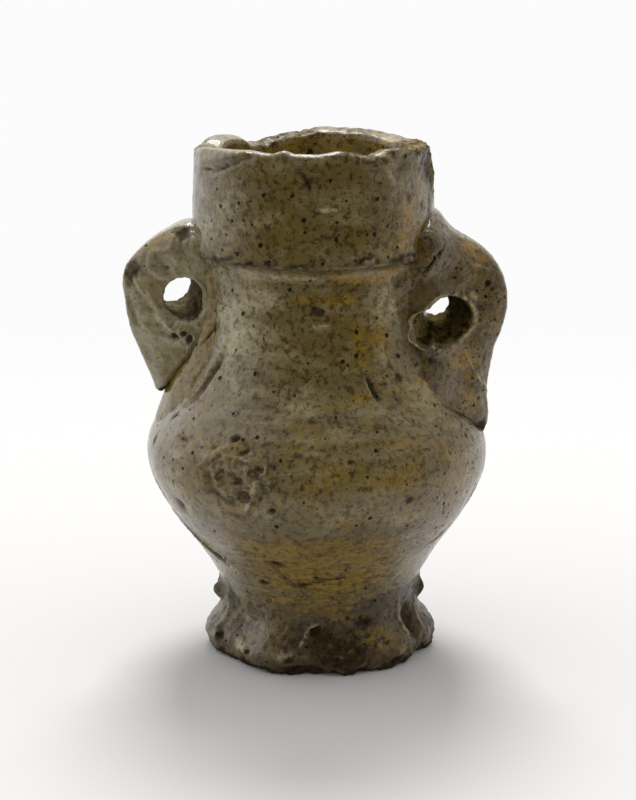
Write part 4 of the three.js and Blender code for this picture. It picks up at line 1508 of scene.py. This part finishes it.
    def build(self) -> bpy.types.Material:
        """Wire the material.

        Returns:
            The finished material.
        """
        finish, speck = self.finish, self.specks()
        stained = self.add("Math", speck, self.paint[Tone.DARK], **LARGER)
        stained = self.add("Math", stained, 0.8, **TIMES)
        dull = self.add("Math", self.paint[Tone.BARE], stained, **LARGER)
        glazed = self.add("Math", 1.0, dull, **MINUS)
        patchy = self.add("MapRange", self.grain[Grain.GLOSS], 0.4, 0.75, 0, 0.16, **SMOOTH)
        rough = self.add("Math", patchy, finish.roughness, **PLUS)
        shader = self.add("BsdfPrincipled", {
            "Base Color": self.colour(speck),
            "Roughness": self.add("Math", rough, self.add("Math", dull, 0.6, **TIMES), **PLUS),
            "IOR": self.GLASS_IOR,
            "Specular IOR Level": self.add("Math", glazed, 0.5, **TIMES),
            "Coat Weight": self.add("Math", glazed, 0.35, **TIMES),
            "Coat Roughness": 0.1,
            "Normal": self.add("Bump", {
                "Strength": 1.0, "Distance": finish.peel * MM, "Height": self.relief(speck),
            }),
        })
        self.add("OutputMaterial", shader)
        return self.material


@dataclass
class Studio:
    """The pale floor, the soft light round the jar and the camera."""

    camera_distance: float = 434.0
    camera_height: float = 158.0
    camera_side: float = 0.38
    pitch: float = 14.05
    lens: float = 103.4
    floor_size: float = 9.0
    floor_colour: str = "#cecdcc"
    floor_front: str = "#d2d1d0"
    floor_near: str = "#2c2b2a"
    backdrop: float = 0.97
    # From where to where along Y, in metres, the floor's paper takes its own colour, throws its full
    # light back at the jar, and runs off into white.
    paper_from: tuple[float, float] = (-0.12, 0.04)
    lit_from: tuple[float, float] = (-0.19, -0.07)
    white_from: tuple[float, float] = (-0.01, 0.3)
    # The tent's light by the camera, behind, at the right and at the left: as it falls on matt things,
    # and as a gloss mirrors it.
    soft_light: tuple[float, float, float, float] = (0.72, 0.85, 0.9, 1.2)
    mirrored_light: tuple[float, float, float, float] = (0.04, 1.2, 0.5, 1.2)
    lamp_place: tuple[float, float, float] = (0.0, 0.62, 1.0)
    lamp_size: float = 0.42
    lamp_watts: float = 12.0

    def seen(self, tree: bpy.types.NodeTree) -> bpy.types.NodeSocket:
        """Give 1 for the rays by which the picture, a gloss or a glass sees the background."""
        looked_at = add_node(tree, "LightPath", out="Is Camera Ray")
        rays = looked_at.node.outputs
        shine = add_node(tree, "Math", rays["Is Glossy Ray"], rays["Is Transmission Ray"], **LARGER)
        return add_node(tree, "Math", looked_at, shine, **LARGER)

    def floor_material(self) -> bpy.types.Material:
        """Make the paper of the floor: pale, and white where it runs away behind the jar.

        In front it throws little light back at the jar, as where the room behind the camera is dark.

        Returns:
            The material.
        """
        material = bpy.data.materials.new("white_paper_sweep")
        material.use_nodes = True
        tree = material.node_tree
        shader = tree.nodes["Principled BSDF"]
        shader.inputs["Roughness"].default_value = 0.95
        shader.inputs["Specular IOR Level"].default_value = 0.05
        add = partial(add_node, tree)
        depth = add("SeparateXYZ", add("TexCoord", out="Object"), out="Y")
        near, lit, far = (
            add("MapRange", depth, *ends, **SMOOTH)
            for ends in (self.paper_from, self.lit_from, self.white_from)
        )
        lit = add("Math", lit, add("LightPath", out="Is Camera Ray"), **LARGER)
        colour = linear(self.floor_colour)
        for share, below in ((near, self.floor_front), (lit, self.floor_near)):
            colour = add("Mix", {0: share, 6: linear(below), 7: colour}, out=2, data_type="RGBA")
        tree.links.new(colour, shader.inputs["Base Color"])
        white = add("Emission", WHITE, self.backdrop)
        share = add("Math", far, self.seen(tree), **TIMES)
        both = add("MixShader", share, shader.outputs[0], white)
        tree.links.new(both, tree.nodes["Material Output"].inputs["Surface"])
        return material

    def floor(self) -> None:
        """Lay the floor: a large pale sheet that fills the picture up to its top."""
        sheet = bmesh.new()
        bmesh.ops.create_grid(sheet, x_segments=1, y_segments=1, size=self.floor_size / 2)
        mesh = bpy.data.meshes.new("studio_floor")
        sheet.to_mesh(mesh)
        sheet.free()
        floor = bpy.data.objects.new("studio_floor", mesh)
        bpy.context.scene.collection.objects.link(floor)
        mesh.materials.append(self.floor_material())

    def world(self) -> None:
        """Surround the jar with a white tent: bright behind and at the left, darker by the camera."""
        world = bpy.data.worlds.new("light_tent")
        bpy.context.scene.world = world
        world.use_nodes = True
        tree = world.node_tree
        tree.nodes.clear()
        add = partial(add_node, tree)
        side, depth, _ = add("SeparateXYZ", add("TexCoord", out="Generated")).node.outputs
        back = add("MapRange", depth, -0.8, 0.1, **SMOOTH)
        left = add("MapRange", side, 0.9, -0.9, **SMOOTH)
        soft, mirrored = (
            add("Math", add("Mix", {0: back, 2: lights[0], 3: lights[1]}),
                add("Mix", {0: left, 2: lights[2], 3: lights[3]}), **TIMES)
            for lights in (self.soft_light, self.mirrored_light)
        )
        shines = add("LightPath", out="Is Glossy Ray")
        level = add("Mix", {0: shines, 2: soft, 3: mirrored})
        level = add("Mix", {0: shines.node.outputs["Is Camera Ray"], 2: level, 3: self.backdrop})
        add("OutputWorld", add("Background", WHITE, level))

    def lamp(self) -> None:
        """Hang a soft square lamp behind the jar, facing it."""
        light = bpy.data.lights.new("back_softbox", "AREA")
        light.shape = "SQUARE"
        light.size = self.lamp_size
        light.energy = self.lamp_watts
        lamp = bpy.data.objects.new("back_softbox", light)
        bpy.context.scene.collection.objects.link(lamp)
        aim = Vector((0, 0, 0.05)) - Vector(self.lamp_place)
        lamp.location = self.lamp_place
        lamp.rotation_euler = aim.to_track_quat("-Z", "Y").to_euler()

    def build(self) -> None:
        """Set up the floor, light, camera and view."""
        self.floor()
        self.world()
        self.lamp()
        camera = bpy.data.cameras.new("camera")
        camera.lens = self.lens
        camera.sensor_width = 36
        camera.clip_start = 0.01
        holder = bpy.data.objects.new("camera", camera)
        bpy.context.scene.collection.objects.link(holder)
        holder.location = Vector((self.camera_side, -self.camera_distance, self.camera_height)) * MM
        holder.rotation_euler = (math.radians(90 - self.pitch), 0, 0)
        scene = bpy.context.scene
        scene.camera = holder
        scene.view_settings.view_transform = "Standard"


LEFT_LUG = LugShape(
    name="left_lug",
    turn=182,
    front=1,
    outline=(
        (36.4, 69.5), (36.7, 75.0), (34.4, 78.6), (29.4, 82.7), (24.0, 84.9), (20.0, 83.7), (15.0, 78.2),
        (15.0, 66.0), (20.8, 61.8), (25.0, 56.9), (28.6, 52.9), (30.4, 51.6), (31.5, 54.0), (35.3, 63.0),
    ),
    root_half=5.4,
    edge_half=2.5,
    flare=2.2,
    flare_behind=1.2,
    flare_reach=3.4,
    exit=HoleEnd(28.0, 72.2, 7.6, 7.6),
    mouth=HoleEnd(24.8, 70.7, 7.9, 8.0, ((250, 0.5, 25),)),
    collar=0.3,
    collar_width=0.6,
    luting_span=(55.8, 80.5),
    luting_front=6.6,
    luting_back=5.6,
    luting_slump=0.85,
    smears=(
        Smear(0, 3.0, 1.5), Smear(40, 3.0, 1.3), Smear(65, 2.4, 1.0), Smear(90, 3.4, 0.8),
        Smear(120, 3.0, 0.8), Smear(180, 2.6, 1.0), Smear(230, 3.6, 1.9), Smear(252, 8.0, 3.3),
        Smear(275, 10.5, 3.8), Smear(295, 8.8, 3.5), Smear(315, 5.4, 2.3), Smear(335, 3.8, 1.7),
        Smear(350, 3.2, 1.6),
    ),
    cracks_and_shade_lines=(
        Stroke(206.5, 64.6, 5.0, 0.5, 0.5, 56, 2, 0.4, 0, Tone.DARK, 0.7),
    ),
    marks=(
        Stroke(27.2, 54.6, 7.4, 0.75, 0.5, 46, 2, 0.4, 0, Tone.DARK, 1.5),
        Stroke(23.2, 59.2, 7.6, 0.6, 0.5, 51, 2, 0.4, 0, Tone.DARK, 1.4),
        Stroke(29.9, 52.2, 2.2, 1.0, 0.4, 40, 2, 0.4, 0, Tone.DARK, 1.2),
        # Painted light on the lug's outer edge, which is kept lighter than its shaded inner and lower
        # parts.
        Stroke(32.5, 68.0, 5.0, 14.0, 0.0, 0, 2, 0.8, 0, Tone.PALE, 0.3),
        Stroke(30.0, 60.0, 8.0, 8.0, 0.0, -60, 2, 0.8, 0, Tone.PALE, 0.16),
        Stroke(25.3, 64.2, 4.4, 2.8, -1.3, -40, 2, 0.5, 0, Tone.PALE, 0.12),
        Stroke(26.9, 63.4, 1.3, 0.9, 1.3, -30, 2, 0.4, 0, Tone.DARK, 1.3),
        Stroke(24.9, 64.2, 1.1, 0.9, 1.3, 40, 2, 0.4, 0, Tone.DARK, 1.2),
        Stroke(24.0, 63.3, 0.9, 1.6, 1.1, -20, 2, 0.4, 0, Tone.DARK, 1.0),
        Stroke(27.3, 62.4, 3.6, 0.7, -0.6, -12, 2, 0.5, 0, Tone.PALE, 0.8),
        Stroke(28.4, 65.6, 4.4, 0.9, -0.9, -44, 2, 0.7, 0, Tone.PALE, 0.75),
        Stroke(30.2, 69.0, 6.0, 1.1, -0.5, -58, 2, 0.6, 0, Tone.PALE, 0.28),
        Stroke(33.4, 72.6, 7.0, 0.7, -0.3, -56, 2, 0.3, 0, Tone.PALE, 0.3),
        Stroke(32.6, 70.6, 6.0, 1.6, 0.35, -56, 2, 0.3, 0, Tone.DARK, 0.2),
        Stroke(34.9, 68.0, 9.0, 1.6, 0.3, -74, 2, 0.3),
        Stroke(35.0, 75.4, 5.0, 3.2, 0.6, 47, 3, 0.6, 0, Tone.DARK, 0.55),
        Stroke(28.6, 77.2, 3.6, 3.0, 0.35, 0, 2, 0.2, 0.6, Tone.DARK, 0.2),
        Stroke(28.0, 76.6, 1.2, 1.0, 0.3, 0, 2, 0.4, 0, Tone.DARK, 0.6),
        Stroke(30.5, 80.8, 6.0, 2.0, 0.0, 36, 2, 0.7, 0, Tone.OCHRE, 0.45),
        Stroke(26.0, 82.4, 5.0, 1.6, 0.0, 20, 2, 0.9, 0, Tone.OCHRE, 0.4),
        Stroke(25.0, 83.2, 3.0, 2.0, 0.4, 30, 2, 1.2, 0, Tone.DARK, 1.0),
        Stroke(26.5, 80.0, 1.8, 1.4, -0.4, 0, 2, 0.9, 0, Tone.BARE, 0.8),
    ),
)

RIGHT_LUG = LugShape(
    name="right_lug",
    turn=-3,
    front=-1,
    outline=(
        (36.4, 66.0), (36.8, 71.6), (34.8, 77.0), (31.4, 80.6), (26.4, 83.6), (22.6, 87.3), (18.0, 86.0),
        (15.0, 78.2), (15.0, 62.2), (19.8, 50.2), (27.7, 44.8), (32.4, 43.8), (33.0, 52.2), (34.3, 59.4),
    ),
    root_half=6.0,
    edge_half=3.2,
    flare=6.0,
    flare_behind=2.4,
    flare_reach=6.0,
    exit=HoleEnd(22.9, 68.0, 5.4, 5.4),
    mouth=HoleEnd(24.3, 67.3, 12.2, 9.8, (
        (135, -1.8, 34), (186, -0.5, 9), (206, 0.6, 12), (232, 0.35, 11), (250, -0.8, 8), (326, -0.3, 16),
    )),
    collar=0.95,
    collar_width=0.42,
    luting_span=(46.5, 80.0),
    luting_front=11.4,
    luting_back=8.0,
    luting_slump=1.5,
    smears=(
        Smear(0, 3.2, 0.8), Smear(30, 4.6, 1.2), Smear(50, 4.6, 1.4), Smear(68, 3.4, 1.4),
        Smear(90, 3.6, 1.6), Smear(120, 3.0, 1.2), Smear(180, 2.6, 1.0), Smear(250, 1.4, 0.9),
        Smear(280, 0.7, 0.5, 0.9), Smear(320, 0.8, 0.4, 0.9), Smear(345, 2.0, 0.6),
    ),
    cracks_and_shade_lines=(
        # A painted shadow line, pressed in as a shallow groove, along the lug's low edge where it meets the
        # shoulder.
        Stroke(344.0, 49.0, 12.0, 1.0, 0.6, -42, 2, 0.4, 0, Tone.DARK, 1.3),
    ),
    marks=(
        Stroke(22.9, 79.3, 6.0, 0.42, 0.7, 50, 2, 0.3, 0.3, Tone.DARK, 1.2),
        Stroke(20.3, 75.6, 3.4, 0.36, 0.4, 62, 2, 0.4, 0.2, Tone.DARK, 0.7),
        Stroke(33.2, 73.6, 1.1, 1.2, 0.1, 0, 2, 0.8, 0, Tone.DARK, 1.3),
        Stroke(33.9, 72.4, 0.8, 0.8, 0.1, 0, 2, 0.5, 0, Tone.DARK, 1.1),
        Stroke(31.4, 77.0, 8.0, 0.7, -0.25, -24, 2, 0.5, 0, Tone.PALE, 0.28),
        Stroke(31.4, 55.0, 10.0, 0.6, -0.45, -64, 2, 0.5, 0, Tone.PALE, 0.55),
        Stroke(32.6, 52.0, 8.0, 0.5, -0.3, -80, 2, 0.5, 0, Tone.PALE, 0.4),
        # Painted shade at the lug's low tip, where it meets the shoulder.
        Stroke(32.0, 45.4, 2.2, 1.8, 0.3, -60, 2, 0.8, 0, Tone.DARK, 1.2),
        Stroke(28.5, 59.0, 8.0, 6.0, 0.0, -50, 2, 1.1, 0, Tone.OCHRE, 0.5),
        Stroke(29.5, 51.5, 6.0, 4.0, 0.0, -50, 2, 1.1, 0, Tone.OCHRE, 0.5),
        Stroke(31.0, 80.0, 9.0, 4.0, 0.0, -40, 2, 1.1, 0, Tone.OCHRE, 0.5),
        Stroke(34.6, 66.0, 7.0, 3.0, 0.0, -85, 2, 1.1, 0, Tone.OCHRE, 0.35),
        Stroke(24.2, 75.4, 11.0, 3.4, 0.9, 14, 2.6, 0.3, 0, Tone.DARK, 0.2),
        Stroke(22.4, 60.4, 4.4, 1.4, 0.3, -24, 2, 0.9, 0, Tone.DARK, 0.5),
        Stroke(30.2, 71.5, 3.0, 1.1, -0.4, -40, 2, 0.9, 0, Tone.PALE, 0.35),
    ),
)

# Olive-grey glass over iron-bearing clay: it shines, pitted like orange peel and freckled dark.
BODY_GLAZE = GlazeFinish(
    "salt_glazed_stoneware", "#6b5e37", "#6a5826", "#897e5b", "#564310", 0.17, 0.17, 1.0, scraped=2.4,
)
# The same clay where little salt reached it, low in the kiln: dark, dull and rough as handled.
FOOT_GLAZE = GlazeFinish(
    "thin_glazed_foot_clay", "#4f4014", "#4d3a09", "#65542a", "#392906", 0.4, 0.3, 1.4, scraped=1.4,
)
# Thick glass on the side away from the fire: pale, even and grey, with few specks.
LEFT_LUG_GLAZE = GlazeFinish(
    "salt_glazed_grey_lug", "#847c5d", "#7c714d", "#948c70", "#716543", 0.2, 0.11, 0.7, mottled=0.55,
)
# Toasted by the fire: brown, coarse and less glossy, so that its folds and pits read dark.
RIGHT_LUG_GLAZE = GlazeFinish(
    "salt_glazed_brown_lug", "#5a4b20", "#5f4d18", "#6e5f33", "#47370c", 0.26, 0.2, 1.0,
)
# Slip smeared wet by a finger: smooth, wet-looking and honey brown, nearly free of specks.
LEFT_LUTING_GLAZE = GlazeFinish(
    "salt_glazed_honey_slip", "#6b5a22", "#735d19", "#7b6b38", "#5a460f", 0.2, 0.1, 0.6, mottled=0.7,
)
# The same slip on the fire's side: browner, coarser and speckled as the body beside it.
RIGHT_LUTING_GLAZE = GlazeFinish(
    "salt_glazed_brown_slip", "#605123", "#604d18", "#776840", "#4a3a0c", 0.24, 0.2, 1.0,
)


def main() -> None:
    """Build the studio and every piece of the jar, in order."""
    logging.basicConfig(level=logging.INFO, format="%(name)s: %(message)s")
    Studio().build()
    section = Section(JarSizes())
    ThrownVessel(section).build(SaltGlaze(BODY_GLAZE).build())
    FootRing(section).build(SaltGlaze(FOOT_GLAZE).build())
    for shape, glaze, luting_glaze in (
        (LEFT_LUG, LEFT_LUG_GLAZE, LEFT_LUTING_GLAZE),
        (RIGHT_LUG, RIGHT_LUG_GLAZE, RIGHT_LUTING_GLAZE),
    ):
        lug = Lug(section, shape)
        lug.build(SaltGlaze(glaze).build())
        Luting(lug).build(SaltGlaze(luting_glaze).build())


if __name__ == "__main__":
    main()
